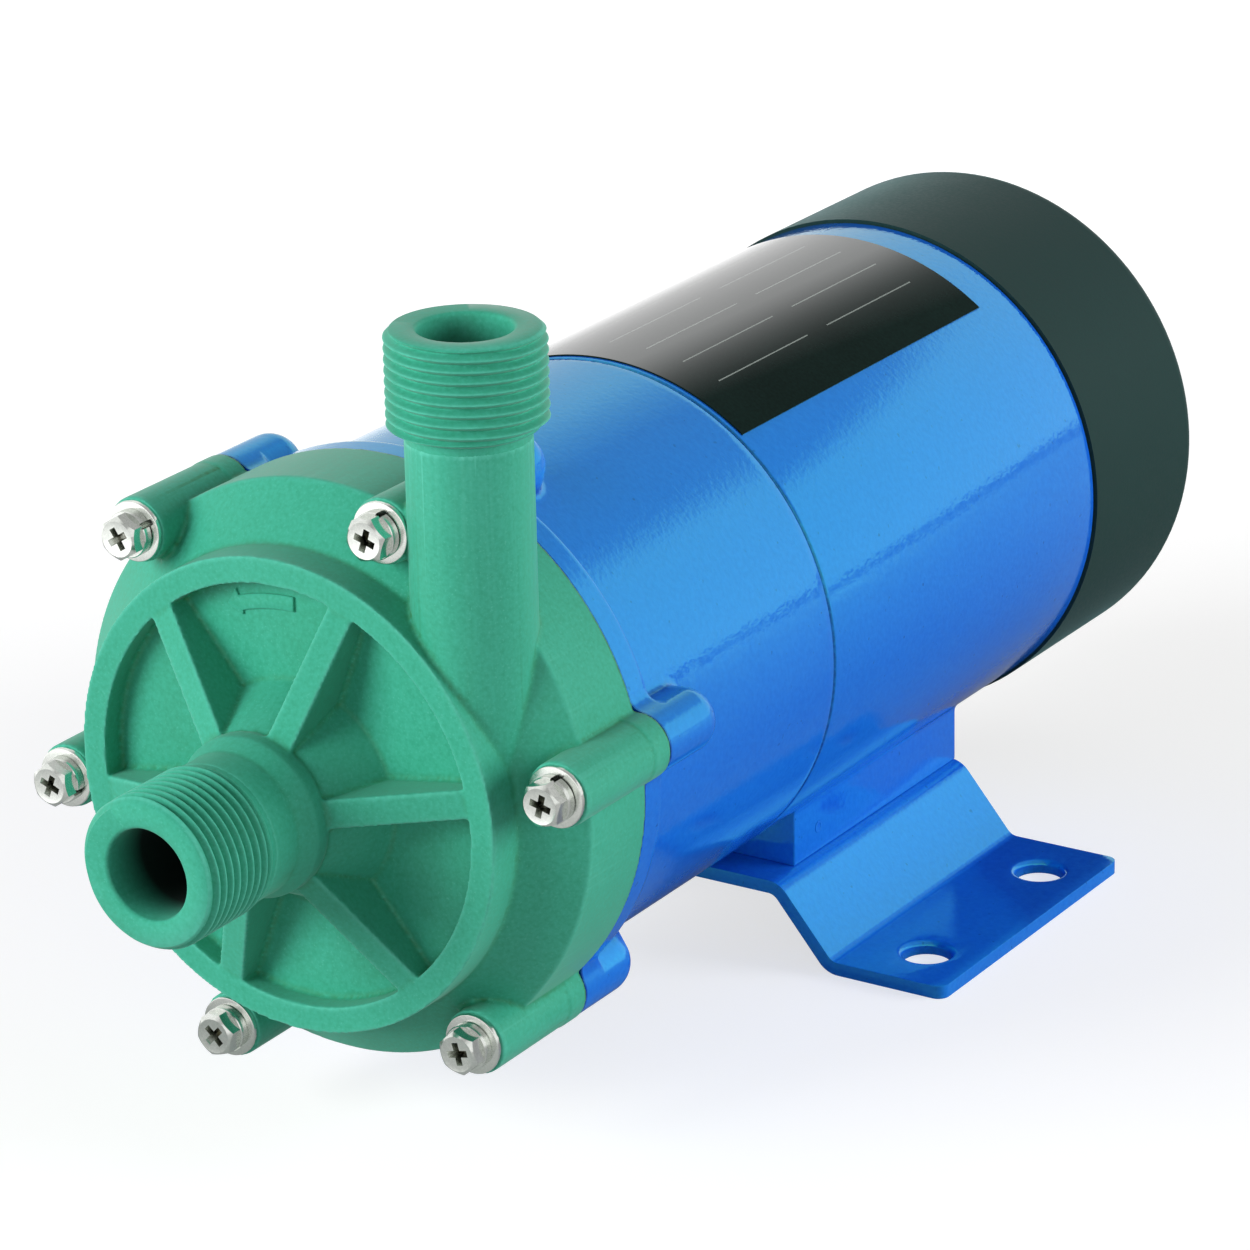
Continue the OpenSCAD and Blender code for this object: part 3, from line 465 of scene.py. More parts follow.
def prism_shell(outline, start, end, place):
    """A closed straight bar with the given outline."""
    return skin([[place(x, y, at) for x, y in outline] for at in (start, end)])


def rounded_tube(outer, inner, start, end, edge, count=5):
    """Section of a tube with both outer ends rounded."""
    return (
        [(inner, start)]
        + corner_arc((outer - edge, start + edge), edge, -90.0, 0.0, count)
        + corner_arc((outer - edge, end - edge), edge, 0.0, 90.0, count)
        + [(inner, end)]
    )


def add_to(piece, other):
    """Adds the other piece's shells to a piece."""
    work = bmesh.new()
    work.from_mesh(piece.data)
    work.from_mesh(other.data)
    work.to_mesh(piece.data)
    work.free()
    bpy.data.objects.remove(other)


motor_housing = make_piece("motor_housing_tube", [turned_shell(
    rounded_tube(BODY_RADIUS, HOUSING_BORE, SEAM_AT, COVER_AT, SEAM_ROUND), on_shaft, 256, ring=True)])
fillet_x = PAD_HALF_WIDTH + PAD_FILLET
fillet_up = -math.sqrt((BODY_RADIUS + PAD_FILLET) ** 2 - fillet_x ** 2)
fillet_end = math.degrees(math.atan2(-fillet_up, -fillet_x))
fillet = corner_arc((fillet_x, fillet_up), PAD_FILLET, 180.0, fillet_end, 6)
root_up = -math.sqrt(PAD_ROOT_RADIUS ** 2 - PAD_ROOT_HALF ** 2)
pad_half = [(PAD_ROOT_HALF, root_up), (fillet[-1][0] - 1.0, fillet[-1][1] + 1.6)] + fillet[::-1]
pad_half.append((PAD_HALF_WIDTH, PAD_BOTTOM - SHAFT_Z))
pad_outline = [(0.0, PAD_ROOT_MIDDLE)] + pad_half + [(-x, up) for x, up in pad_half[::-1]]
motor_pad = make_piece("motor_pad", [prism_shell(
    pad_outline, PAD_Y[0] - JOINT_Y, PAD_Y[1] - JOINT_Y, on_shaft)])
soften(motor_pad, 0.7, 3, 50.0)
add_to(motor_pad, make_piece("pin_mark", [turned_shell(
    PIN_LINE, lambda x, y, out: (PAD_HALF_WIDTH + out, PIN_MARK[0] + x, PIN_MARK[1] + y), 32)]))
tube_edges = np.minimum(edge_values(motor_housing, 1, 50.0), 0.0)
add_to(motor_housing, motor_pad)
shade(motor_housing)
store_edges(motor_housing, tube_edges)
hand_over(motor_housing, "pump_body", "blue_paint", blue_paint, "motor_housing")


# Cable gland: a moulded rubber sleeve pressed into the hole in the housing's far side, with a collar
# outside and a bore that grips the mains cable.
rubber = finish(
    "black_rubber", (0.012, 0.012, 0.013), (0.030, 0.030, 0.031), (0.55, 0.78), (120.0, 2200.0), 0.6, 0.03)
dress(rubber, "cable_gland", "casing_seal")


# Motor inside: cast end shields and rotor cage, stacked electrical sheet, wound copper wire, ground
# shaft and bearings, all held together by four long tie bolts.


def measure(tree, operation, first, second=None):
    """One sum on vectors; a product of two or a length comes out as a number."""
    node = tree.nodes.new("ShaderNodeVectorMath")
    node.operation = operation
    put(tree, node.inputs[0], first)
    put(tree, node.inputs[1], second)
    return node.outputs["Value" if operation in ("DOT_PRODUCT", "LENGTH") else "Vector"]


fine_lines, given, result = shader_group(
    "fine_lines", {"Vector": ORIGIN, "Along": (0.0, 1.0, 0.0), "Pitch": 0.0005}, ["Band"])
run = measure(fine_lines, "DOT_PRODUCT", given["Vector"], given["Along"])
phase = reckon(fine_lines, "DIVIDE", run, given["Pitch"])
wave = reckon(fine_lines, "SINE", reckon(fine_lines, "MULTIPLY", phase, 2 * math.pi))
put(fine_lines, result["Band"], remap(fine_lines, wave, -1.0, 1.0))


def add_lines(material, along, pitch, depth, dark):
    """Lays fine parallel lines over a finished material, darker in the grooves."""
    tree = material.node_tree
    band = place_group(tree, fine_lines, Along=along, Pitch=pitch * MM)["Band"]
    recolour(tree, reckon(tree, "SUBTRACT", 1.0, band), dark)
    add_relief(tree, band, depth)
    return material


cast_aluminium = finish(
    "cast_aluminium", (0.46, 0.47, 0.48), (0.66, 0.67, 0.68), (0.38, 0.55), (90.0, 1500.0), 0.6, 0.03,
    Metallic=1.0)
ground_steel = add_lines(finish(
    "ground_steel", (0.48, 0.49, 0.50), (0.62, 0.63, 0.64), (0.18, 0.32), (80.0, 2600.0), 0.5, 0.004,
    Metallic=1.0), (0.0, 1.0, 0.0), 0.35, 0.004, (0.40, 0.41, 0.42))
sheet_stack = add_lines(finish(
    "sheet_stack", (0.16, 0.17, 0.19), (0.26, 0.27, 0.29), (0.40, 0.60), (70.0, 1400.0), 0.5, 0.01,
    Metallic=1.0), (0.0, 1.0, 0.0), 0.5, 0.05, (0.07, 0.07, 0.08))
copper_wire = add_lines(finish(
    "copper_wire", (0.45, 0.16, 0.05), (0.66, 0.27, 0.10), (0.22, 0.38), (110.0, 1600.0), 0.5, 0.02,
    Metallic=1.0, Coat_Weight=0.5), (0.7, 0.1, 0.7), 0.8, 0.12, (0.20, 0.06, 0.02))
protector_case = finish(
    "protector_case", (0.55, 0.51, 0.43), (0.66, 0.62, 0.54), (0.42, 0.55), (60.0, 1200.0), 0.5, 0.015)
dress(cast_aluminium, "front_end_shield", "rear_end_shield", "rotor_cage")
dress(ground_steel, "motor_shaft", "front_bearing", "rear_bearing", "bearing_spring")
dress(sheet_stack, "stator_core", "rotor_core")
dress(copper_wire, "stator_windings")
dress(protector_case, "thermal_protector")
dress(zinc, "tie_bolts")


# Rating plate: a thin dark foil stuck over the top of the housing. It is left bare but for the fine
# pale rules of two columns of empty fields; its clear varnish shines only where it is seen at a slant.
PLATE_RADIUS = 48.02
PLATE_THICK = 0.3
PLATE_HALF_ANGLE = 36.8
PLATE_Y = (-40.2, 45.0)
PLATE_RULES = 8
PLATE_FIELDS = ((0.10, 0.46), (0.54, 0.90))
PLATE_INSIDE = (0.10, 0.90)
RULE_HALF_WIDTH = 0.13


def plate_shell(columns=40, rows=60):
    """The foil as a closed curved sheet, with a place on the sheet for every point."""
    points = []
    places = []
    for radius in (PLATE_RADIUS + PLATE_THICK, PLATE_RADIUS):
        for j in range(rows + 1):
            y = PLATE_Y[0] + (PLATE_Y[1] - PLATE_Y[0]) * j / rows
            for k in range(columns + 1):
                turn = math.radians(90.0 + PLATE_HALF_ANGLE - 2 * PLATE_HALF_ANGLE * k / columns)
                points.append((radius * math.cos(turn), y, SHAFT_Z + radius * math.sin(turn)))
                places.append((k / columns, j / rows))
    return points, sheet_faces(columns + 1, rows + 1), places


plate_points, plate_faces, plate_places = plate_shell()
rating_plate = make_piece("rating_plate_foil", [(plate_points, plate_faces)])
plate_map = rating_plate.data.uv_layers.new(name="plate")
for loop in rating_plate.data.loops:
    plate_map.data[loop.index].uv = plate_places[loop.vertex_index]
shade(rating_plate)

dark_foil = finish(
    "dark_foil", (0.003, 0.010, 0.008), (0.005, 0.017, 0.014), (0.13, 0.18), (45.0, 1500.0), 0.6, 0.008,
    Specular_IOR_Level=0.02, Specular_Tint=(0.6, 1.0, 1.0, 1.0), Coat_Roughness=0.12, Coat_IOR=2.0)
tree = dark_foil.node_tree
plate_uv = tree.nodes.new("ShaderNodeUVMap")
plate_uv.uv_map = "plate"
split = tree.nodes.new("ShaderNodeSeparateXYZ")
put(tree, split.inputs["Vector"], plate_uv.outputs["UV"])


def between(tree, value, low, high):
    """One where a value lies between two limits, else none."""
    over = reckon(tree, "GREATER_THAN", value, low)
    return reckon(tree, "MULTIPLY", over, reckon(tree, "LESS_THAN", value, high))


plate_wide = 2 * math.radians(PLATE_HALF_ANGLE) * PLATE_RADIUS
half_rule = RULE_HALF_WIDTH * PLATE_RULES / plate_wide
row = reckon(tree, "FRACT", reckon(tree, "MULTIPLY", split.outputs["X"], PLATE_RULES))
row_rule = between(tree, row, 0.5 - half_rule, 0.5 + half_rule)
fields = reckon(tree, "ADD", *[between(tree, split.outputs["Y"], *field) for field in PLATE_FIELDS])
inside = between(tree, split.outputs["X"], *PLATE_INSIDE)
rules = reckon(tree, "MULTIPLY", row_rule, reckon(tree, "MULTIPLY", fields, inside))
recolour(tree, rules, (0.26, 0.30, 0.28))
glance = tree.nodes.new("ShaderNodeLayerWeight")
glance.inputs["Blend"].default_value = 0.5
varnish = remap(tree, glance.outputs["Facing"], 0.50, 0.64, 0.03, 1.0)
put(tree, tree.nodes["Principled BSDF"].inputs["Coat Weight"], varnish)
hand_over(rating_plate, "pump_body", "dark_foil", dark_foil, "rating_plate")


# Cooling fan and fan cover: the fan is a small moulded wheel on the shaft's rear end. The cover is a
# deep moulded cap with a slotted rear, in a satin greenish black, held by three screws.
fan_moulding = finish(
    "fan_moulding", (0.010, 0.011, 0.012), (0.022, 0.024, 0.025), (0.38, 0.55), (80.0, 1800.0), 0.6, 0.015)
cover_moulding = finish(
    "cover_moulding", (0.010, 0.032, 0.030), (0.015, 0.041, 0.038), (0.46, 0.58), (70.0, 1500.0), 0.7, 0.02,
    Specular_IOR_Level=0.12, Sheen_Weight=0.25, Sheen_Roughness=0.22, Sheen_Tint=(0.5, 1.0, 1.0, 1.0))
dress(fan_moulding, "cooling_fan")
dress(cover_moulding, "fan_cover")


# Bracket: a die-cast cup between pump head and motor, with a flange in front and six bosses that run
# back along it and end in round noses. Painted blue after casting; every corner is filleted.
FLANGE_RADIUS = 50.7
BRACKET_WALL = 4.0
LOBE_RADIUS = 5.7
LOBE_CENTRE = 51.0
LOBE_STRAIGHT = 12.3
LOBE_TURN = 9.5
LOBE_FILLET = 2.4
LOBES = 6
LOBE_TURNS = [LOBE_TURN + 360.0 / LOBES * i for i in range(LOBES)]
SOLVE_SPAN = (47.0, 60.0)
SOLVE_ROUNDS = 28
FLANGE_LINE = [
    (0.0, FLANGE_RADIUS), (4.8, FLANGE_RADIUS), (5.2, 50.62), (5.6, 50.35), (5.85, 49.95), (6.0, 49.4),
    (6.08, 48.8), (6.25, 48.3), (6.6, 48.06), (7.1, BODY_RADIUS), (66.0, BODY_RADIUS), (66.4, 47.9),
    (66.65, 47.6), (SEAM_AT, 47.1),
]
FLANGE_STATIONS = [
    0.0, 0.3, 0.45, 1.5, 3.0, 4.2, 4.8, 5.0, 5.2, 5.4, 5.6, 5.75, 5.85, 5.93, 6.0, 6.04, 6.08, 6.16, 6.25,
    6.4, 6.6, 6.85, 7.1, 7.5, 8.0, 8.6,
]
NOSE_STATIONS = [9.2 + 0.6 * i for i in range(5)] + [12.0 + 0.35 * i for i in range(28)]
CUP_STATIONS = [
    23.0, 27.0, 32.0, 38.0, 44.0, 50.0, 56.0, 61.0, 64.5, 66.0, 66.2, 66.4, 66.55, 66.65, 66.75, SEAM_AT]


def bracket_shell(steps=720):
    """The cup with its bosses: the outer radius is solved on a grid of angles and stations."""
    stations = np.array(FLANGE_STATIONS + NOSE_STATIONS + CUP_STATIONS)
    turns = 2 * np.pi * np.arange(steps) / steps
    body = np.interp(stations, [p[0] for p in FLANGE_LINE], [p[1] for p in FLANGE_LINE])[:, None]
    past = np.maximum(stations - LOBE_STRAIGHT, 0.0)[:, None]
    low = np.full((len(stations), steps), SOLVE_SPAN[0])
    high = np.full((len(stations), steps), SOLVE_SPAN[1])
    for _ in range(SOLVE_ROUNDS):
        middle = (low + high) / 2
        outside = middle - body
        nearest = np.full_like(middle, 1e3)
        for lobe_turn in LOBE_TURNS:
            at = math.radians(lobe_turn)
            across = middle * np.cos(turns) - LOBE_CENTRE * math.cos(at)
            upward = middle * np.sin(turns) - LOBE_CENTRE * math.sin(at)
            nearest = np.minimum(nearest, np.sqrt(across ** 2 + upward ** 2 + past ** 2) - LOBE_RADIUS)
        share = np.clip(0.5 + 0.5 * (outside - nearest) / LOBE_FILLET, 0.0, 1.0)
        blended = outside * (1 - share) + nearest * share - LOBE_FILLET * share * (1 - share)
        low = np.where(blended < 0, middle, low)
        high = np.where(blended < 0, high, middle)
    outer = (low + high) / 2
    rows = [round_row(radii, station, on_shaft, steps) for radii, station in zip(outer, stations)]
    for station in (stations[-1], stations[0]):
        rows.append(round_row(BODY_RADIUS - BRACKET_WALL, station, on_shaft, steps))
    return skin(rows, ring=True)


bracket = make_piece("bracket_casting", [bracket_shell()])
shade(bracket, 50.0)
store_edges(bracket, edge_values(bracket, 2, 0.2))
hand_over(bracket, "pump_body", "blue_paint", blue_paint, "bracket")


# Magnetic drive and wet end inside: a steel cup with magnets on the motor shaft turns the sealed
# magnet of the moulded impeller, through a moulded can, on a polished ceramic spindle.
ceramic = finish(
    "ceramic", (0.78, 0.75, 0.68), (0.86, 0.83, 0.77), (0.10, 0.18), (50.0, 1600.0), 0.4, 0.003,
    Coat_Weight=0.3)
pale_moulding = finish(
    "pale_moulding", (0.19, 0.40, 0.30), (0.25, 0.47, 0.36), (0.36, 0.50), (60.0, 1500.0), 0.6, 0.015)
white_bush = finish(
    "white_bush", (0.70, 0.69, 0.64), (0.82, 0.81, 0.76), (0.34, 0.48), (60.0, 1400.0), 0.5, 0.012)
sintered_magnet = finish(
    "sintered_magnet", (0.030, 0.032, 0.036), (0.060, 0.063, 0.068), (0.45, 0.65), (140.0, 2200.0), 0.6,
    0.02, Metallic=0.6)
dress(zinc, "bracket_screws")
dress(ground_steel, "drive_yoke", "drive_grub_screw")
dress(sintered_magnet, "drive_magnets", "inner_magnet")
dress(ceramic, "spindle", "front_thrust_ring", "rear_thrust_ring")
dress(pale_moulding, "impeller", "impeller_shroud", "magnet_capsule")
dress(white_bush, "impeller_bush")


# Front casing: one moulding of glass-filled green plastic. A threaded suction port stands on a cone
# with six sloping ribs inside a raised ring; the discharge pipe leaves the volute at a tangent.
PANEL = -26.9
RING_FACE = -31.2
RING_RADIUS = 41.7
RING_WIDTH = 4.6
RING_WALL = 7.0
RIM_RADIUS = 51.0
RIM_LENGTH = 16.6
COLLAR_AT = -41.0
COLLAR_RADIUS = 14.05
COLLAR_LENGTH = 2.8
HUB_RADIUS = 13.5
NECK_RADIUS = 12.6
NECK_FLARE = 3.4
BOSS_FOOT_RADIUS = 19.3
SUCTION_TIP = -68.5
THREAD_LENGTH = 17.0
RIB_HALF_WIDTH = 2.5
RIB_RISE = 0.313
SCREW_CIRCLE = LOBE_CENTRE
SCREW_HOLE = 2.2
BOSS_FRONT = -25.0
BOSS_FOOT = 4.6
WEB_FRONT = -22.0
WEB_REAR = -8.3
WEB_ROOT = RING_RADIUS - 2.3
WEB_HALF_WIDTH = 2.0
PIPE_RADIUS = 10.4
PIPE_X = 31.2
PIPE_AHEAD = 19.2
PIPE_TIP = 82.7
PORT_BORE = 7.8
PIPE_BORE = (28.0, 70.0)
BELL_RADIUS = 11.0
CHAMBER_FRONT = -21.5
CHAMBER_FLAT = 34.0
VOLUTE_RADII = (39.4, 44.4)
TONGUE_AT = 50.0
REAR_SEAT = (47.2, -6.0)
SPIDER_FRONT = -33.0
SPIDER_HUB = (6.2, -23.5)
SPIDER_VANE = (3.0, -24.5)
SPINDLE_SEAT = (4.05, -31.0)
VOXEL = 0.36
FACES_KEPT = 0.30


def on_circle(turn, radius):
    """Place across the shaft of a point on a ray at an angle in degrees."""
    return radius * math.cos(math.radians(turn)), radius * math.sin(math.radians(turn))


def on_ray(turn):
    """Places points of a plane through the shaft: out along a ray, station, and sideways."""
    cos = math.cos(math.radians(turn))
    sin = math.sin(math.radians(turn))
    return lambda out, station, aside: on_shaft(out * cos - aside * sin, out * sin + aside * cos, station)


def on_discharge(x, y, up):
    """A point of the discharge pipe's own upright axes."""
    return PIPE_X + x, JOINT_Y - PIPE_AHEAD + y, SHAFT_Z + up


def rod_shell(place, start, end, radius, steps=48, centre=(0.0, 0.0)):
    """A closed cylinder on an axis or beside it, from one station to another."""
    ends = [Vector(place(*centre, station)) for station in (start, end)]
    along = (ends[1] - ends[0]).normalized()
    side = along.orthogonal().normalized()
    other = along.cross(side)
    turns = [2 * math.pi * i / steps for i in range(steps)]
    return skin([[
        middle + radius * (math.cos(turn) * side + math.sin(turn) * other) for turn in turns
    ] for middle in ends])


neck_top = SUCTION_TIP + THREAD_LENGTH + 0.7
collar_end = COLLAR_AT + COLLAR_LENGTH
ring_inner = RING_RADIUS - RING_WIDTH
ring_middle = RING_RADIUS - RING_WIDTH / 2
casing_line = [
    (0.0, neck_top), (NECK_RADIUS, neck_top), (NECK_RADIUS, COLLAR_AT - NECK_FLARE),
    (COLLAR_RADIUS, COLLAR_AT), (COLLAR_RADIUS, collar_end), (HUB_RADIUS, collar_end),
    (BOSS_FOOT_RADIUS, PANEL), (ring_inner, PANEL), (ring_inner, RING_FACE), (RING_RADIUS, RING_FACE),
    (RING_RADIUS, RING_FACE + RING_WALL), (RIM_RADIUS, -RIM_LENGTH), (RIM_RADIUS, 0.0), (0.0, 0.0),
]
casing_shells = [turned_shell(casing_line, on_shaft, 256)]
rib_start = ring_inner + 0.6
rib_top = RING_FACE + 0.3
rib_root = COLLAR_RADIUS - 4.0
rib_line = [
    (rib_root, PANEL + 0.5), (rib_root, rib_top - RIB_RISE * (rib_start - rib_root)),
    (rib_start, rib_top), (ring_middle, rib_top), (ring_middle, PANEL + 0.5),
]
web_line = [(WEB_ROOT, WEB_FRONT), (SCREW_CIRCLE, WEB_FRONT), (SCREW_CIRCLE, WEB_REAR), (WEB_ROOT, WEB_REAR)]
screw_holes = []
for turn in LOBE_TURNS:
    boss = on_circle(turn, SCREW_CIRCLE)
    casing_shells += [
        prism_shell(rib_line, -RIB_HALF_WIDTH, RIB_HALF_WIDTH, on_ray(turn)),
        prism_shell(web_line, -WEB_HALF_WIDTH, WEB_HALF_WIDTH, on_ray(turn)),
        rod_shell(on_shaft, BOSS_FRONT, 0.0, LOBE_RADIUS, centre=boss),
        rod_shell(on_shaft, -BOSS_FOOT, 0.0, LOBE_RADIUS + 0.14, centre=boss),
    ]
    screw_holes.append(rod_shell(on_shaft, -40.0, 5.0, SCREW_HOLE, 32, boss))
pipe = make_piece("pipe", [rod_shell(on_discharge, 0.0, PIPE_TIP - THREAD_LENGTH - 0.9, PIPE_RADIUS, 96)])
cut_out(pipe, rod_shell(on_shaft, RING_FACE - 2.0, 1.0, ring_middle, 192))

casing = make_piece("front_casing_moulding", casing_shells)
add_to(casing, pipe)
step = casing.modifiers.new("one skin", "REMESH")
step.mode = "VOXEL"
step.voxel_size = VOXEL * MM
step = casing.modifiers.new("moulded edges", "SMOOTH")
step.factor = 0.5
step.iterations = 3
step = casing.modifiers.new("fewer faces", "DECIMATE")
step.ratio = FACES_KEPT
settle(casing)


def wet_hollow(steps=240):
    """Bell, spiral chamber and rear seat as one shell whose chamber widens round the shaft."""
    lines = []
    for i in range(steps):
        turn = 360.0 * i / steps
        share = ((turn - TONGUE_AT) % 360.0) / 360.0
        chamber = VOLUTE_RADII[0] + (VOLUTE_RADII[1] - VOLUTE_RADII[0]) * share
        profile = [
            (PORT_BORE, SUCTION_TIP), (PORT_BORE, COLLAR_AT), (BELL_RADIUS, COLLAR_AT + 4.0),
            (BELL_RADIUS, CHAMBER_FRONT), (CHAMBER_FLAT, CHAMBER_FRONT),
            (chamber, CHAMBER_FRONT + (chamber - CHAMBER_FLAT)), (chamber, REAR_SEAT[1]), REAR_SEAT,
            (REAR_SEAT[0], 1.0),
        ]
        lines.append([on_shaft(*on_circle(turn, radius), at) for radius, at in profile])
    return skin(list(zip(*lines)))


cut_out(casing, wet_hollow())
cut_out(casing, rod_shell(on_discharge, *PIPE_BORE, PORT_BORE, 72))
cut_out(casing, *screw_holes)

THREAD_PITCH = 1.814
THREAD_CREST = 13.2
THREAD_DEPTH = 1.16
THREAD_LEAD_IN = 1.1
THREAD_RUN_OUT = 1.2
ROWS_PER_PITCH = 12
BORE_LIP = [(0.0, 0.7), (0.2, 0.2), (0.7, 0.0)]


def threaded_port(place, tip, root_end, root_radius, steps=96):
    """A short pipe end with a cut thread: tip is its face, root_end where it sinks into the moulding. It
    also gives values that paint a highlight along the thread's crests.
    """
    way = 1.0 if root_end > tip else -1.0
    length = abs(root_end - tip)
    distance = np.linspace(0.0, length, int(length / THREAD_PITCH * ROWS_PER_PITCH) + 1)[:, None]
    phase = np.mod(distance / THREAD_PITCH - np.arange(steps) / steps + 0.35, 1.0)
    ridge = np.clip(1.22 * (1.0 - np.abs(2.0 * phase - 1.0)) - 0.10, 0.0, 1.0)
    ridge = ridge * ridge * (3.0 - 2.0 * ridge) * 0.35 + ridge * 0.65
    radius = THREAD_CREST - THREAD_DEPTH * (1.0 - ridge)
    run_out = np.clip((distance - THREAD_LENGTH + THREAD_RUN_OUT) / THREAD_RUN_OUT, 0.0, 1.0)
    radius = radius * (1.0 - run_out) + root_radius * run_out
    radius = np.minimum(radius, THREAD_CREST - THREAD_LEAD_IN + distance * 1.1)
    rows = [round_row(radii, tip + way * at, place, steps) for radii, at in zip(radius, distance[:, 0])]
    for wider, at in [(0.0, length)] + BORE_LIP:
        rows.append(round_row(PORT_BORE + wider, tip + way * at, place, steps))
    # Crest values paint a highlight along the thread.
    crest_highlight = np.zeros((len(rows), steps))
    crest_highlight[:len(radius)] = np.clip((ridge - 0.75) / 0.25, 0.0, 1.0) * (1.0 - run_out) * 0.6
    return skin(rows, ring=True), crest_highlight.ravel()


casing_edges = edge_values(casing, 4, 0.14)
suction_port, suction_crest_highlight = threaded_port(on_shaft, SUCTION_TIP, neck_top + 1.5, NECK_RADIUS - 0.05)
discharge_port, discharge_crest_highlight = threaded_port(
    on_discharge, PIPE_TIP, PIPE_TIP - THREAD_LENGTH - 2.4, PIPE_RADIUS - 0.05)
threaded_ends = make_piece("casing_threaded_ends", [suction_port, discharge_port])
shade(threaded_ends, 50.0)
store_edges(threaded_ends, np.concatenate([suction_crest_highlight, discharge_crest_highlight]))

hub_radius, hub_end = SPIDER_HUB
vane_root, vane_end = SPIDER_VANE
vane_tip = BELL_RADIUS + 0.4
vane_line = [
    (vane_root, SPIDER_FRONT), (vane_tip, SPIDER_FRONT), (vane_tip, vane_end), (vane_root, vane_end)]
spider_shells = [rod_shell(on_shaft, SPIDER_FRONT, hub_end, hub_radius)]
for turn in (90.0, 210.0, 330.0):
    spider_shells.append(prism_shell(vane_line, -1.0, 1.0, on_ray(turn)))
spider = make_piece("spider", spider_shells)
cut_out(spider, rod_shell(on_shaft, SPINDLE_SEAT[1], -20.0, SPINDLE_SEAT[0]))
add_to(casing, spider)

ARROW_INNER = 31.5
ARROW_OUTER = 34.1
ARROW_TURNS = (88.4, 107.5)
ARROW_BARBS = (30.7, 35.35)
ARROW_TIP = (33.2, 112.4)
ARROW_HEIGHT = 0.45
ARROW_STEPS = 12
arrow_start, arrow_end = ARROW_TURNS
arrow_turns = [arrow_start + (arrow_end - arrow_start) * i / ARROW_STEPS for i in range(ARROW_STEPS + 1)]
arrow_line = [on_circle(turn, ARROW_OUTER) for turn in arrow_turns]
arrow_line.append(on_circle(arrow_end + 0.4, ARROW_BARBS[1]))
arrow_line.append(on_circle(ARROW_TIP[1], ARROW_TIP[0]))
arrow_line.append(on_circle(arrow_end + 0.4, ARROW_BARBS[0]))
arrow_line += [on_circle(turn, ARROW_INNER) for turn in arrow_turns[::-1]]
arrow = make_piece("arrow", [prism_shell(arrow_line, PANEL + 0.6, PANEL - ARROW_HEIGHT, on_shaft)])
soften(arrow, 0.15, 2)
add_to(casing, arrow)
shade(casing, 50.0)
store_edges(casing, casing_edges)

# Painted shade in the bores: the green darkens with depth down the suction and discharge bores, where little
# light reaches.
painted_bore_shade, given, result = shader_group("painted_bore_shade", {
    "Vector": ORIGIN, "Mouth": ORIGIN, "Inward": ORIGIN, "Radius": 0.008, "Depth": 0.01, "Length": 0.05,
}, ["Mask"])
from_mouth = measure(painted_bore_shade, "SUBTRACT", given["Vector"], given["Mouth"])
deep = measure(painted_bore_shade, "DOT_PRODUCT", from_mouth, given["Inward"])
off_axis = measure(painted_bore_shade, "LENGTH", measure(painted_bore_shade, "CROSS_PRODUCT", from_mouth, given["Inward"]))
near_axis = reckon(painted_bore_shade, "LESS_THAN", off_axis, given["Radius"])
in_bore = reckon(painted_bore_shade, "MULTIPLY", near_axis, reckon(painted_bore_shade, "LESS_THAN", deep, given["Length"]))
share = reckon(painted_bore_shade, "DIVIDE", deep, given["Depth"])
put(painted_bore_shade, result["Mask"], reckon(painted_bore_shade, "MULTIPLY", in_bore, remap(painted_bore_shade, share, 0.03, 1.0)))

# The green's edge colours are a painted highlight on edges and thread crests, and painted shade in corners;
# they also darken the joint.
green_moulding = add_specks(finish(
    "green_moulding", (0.034, 0.320, 0.200), (0.050, 0.385, 0.262), (0.42, 0.54), (55.0, 1300.0), 0.7,
    0.018, painted_edge_colours=((0.10, 0.50, 0.37), (0.028, 0.15, 0.035)),
    Specular_IOR_Level=0.28, Sheen_Weight=0.12, Sheen_Roughness=0.4,
), 2600.0, 0.64, 0.78, (0.09, 0.43, 0.31))
tree = green_moulding.node_tree
for mouth, inward, depth in (
    (on_shaft(0.0, 0.0, SUCTION_TIP), (0.0, 1.0, 0.0), 9.0),
    (on_discharge(0.0, 0.0, PIPE_TIP), (0.0, 0.0, -1.0), 14.0),
):
    bore_shade_mask = place_group(
        tree, painted_bore_shade, Mouth=[v * MM for v in mouth], Inward=inward, Radius=(PORT_BORE + 0.12) * MM,
        Depth=depth * MM, Length=45.0 * MM)
    # Painted shade inside each bore.
    recolour(tree, bore_shade_mask["Mask"], (0.003, 0.010, 0.008))
hand_over(casing, "pump_body", "green_moulding", green_moulding, "front_casing")
hand_over(threaded_ends, "pump_body", "green_moulding", green_moulding, "front_casing")
dress(green_moulding, "rear_casing")


# Casing screws: six zinc-plated hex screws with a cross recess, each on a split ring and a flat washer,
# pull the casing against the bracket. Each one ended up turned its own way when tightened.
HEAD_ACROSS = 6.8
HEAD_HIGH = 2.7
SHANK_RADIUS = 2.0
SHANK_LENGTH = 34.8
RECESS_TOP = (2.3, 0.70, 0.5)
RECESS_BOTTOM = (1.1, 0.30, -2.1)
SPLIT_RING = (2.2, 4.05, 1.8)
FLAT_WASHER = (2.25, 5.3, 1.0)
WASHER_EDGE = 0.18
SCREW_SEED = 7


def upright(x, y, z):
    """A point of a fastener standing on its own seat."""
    return x, y, z


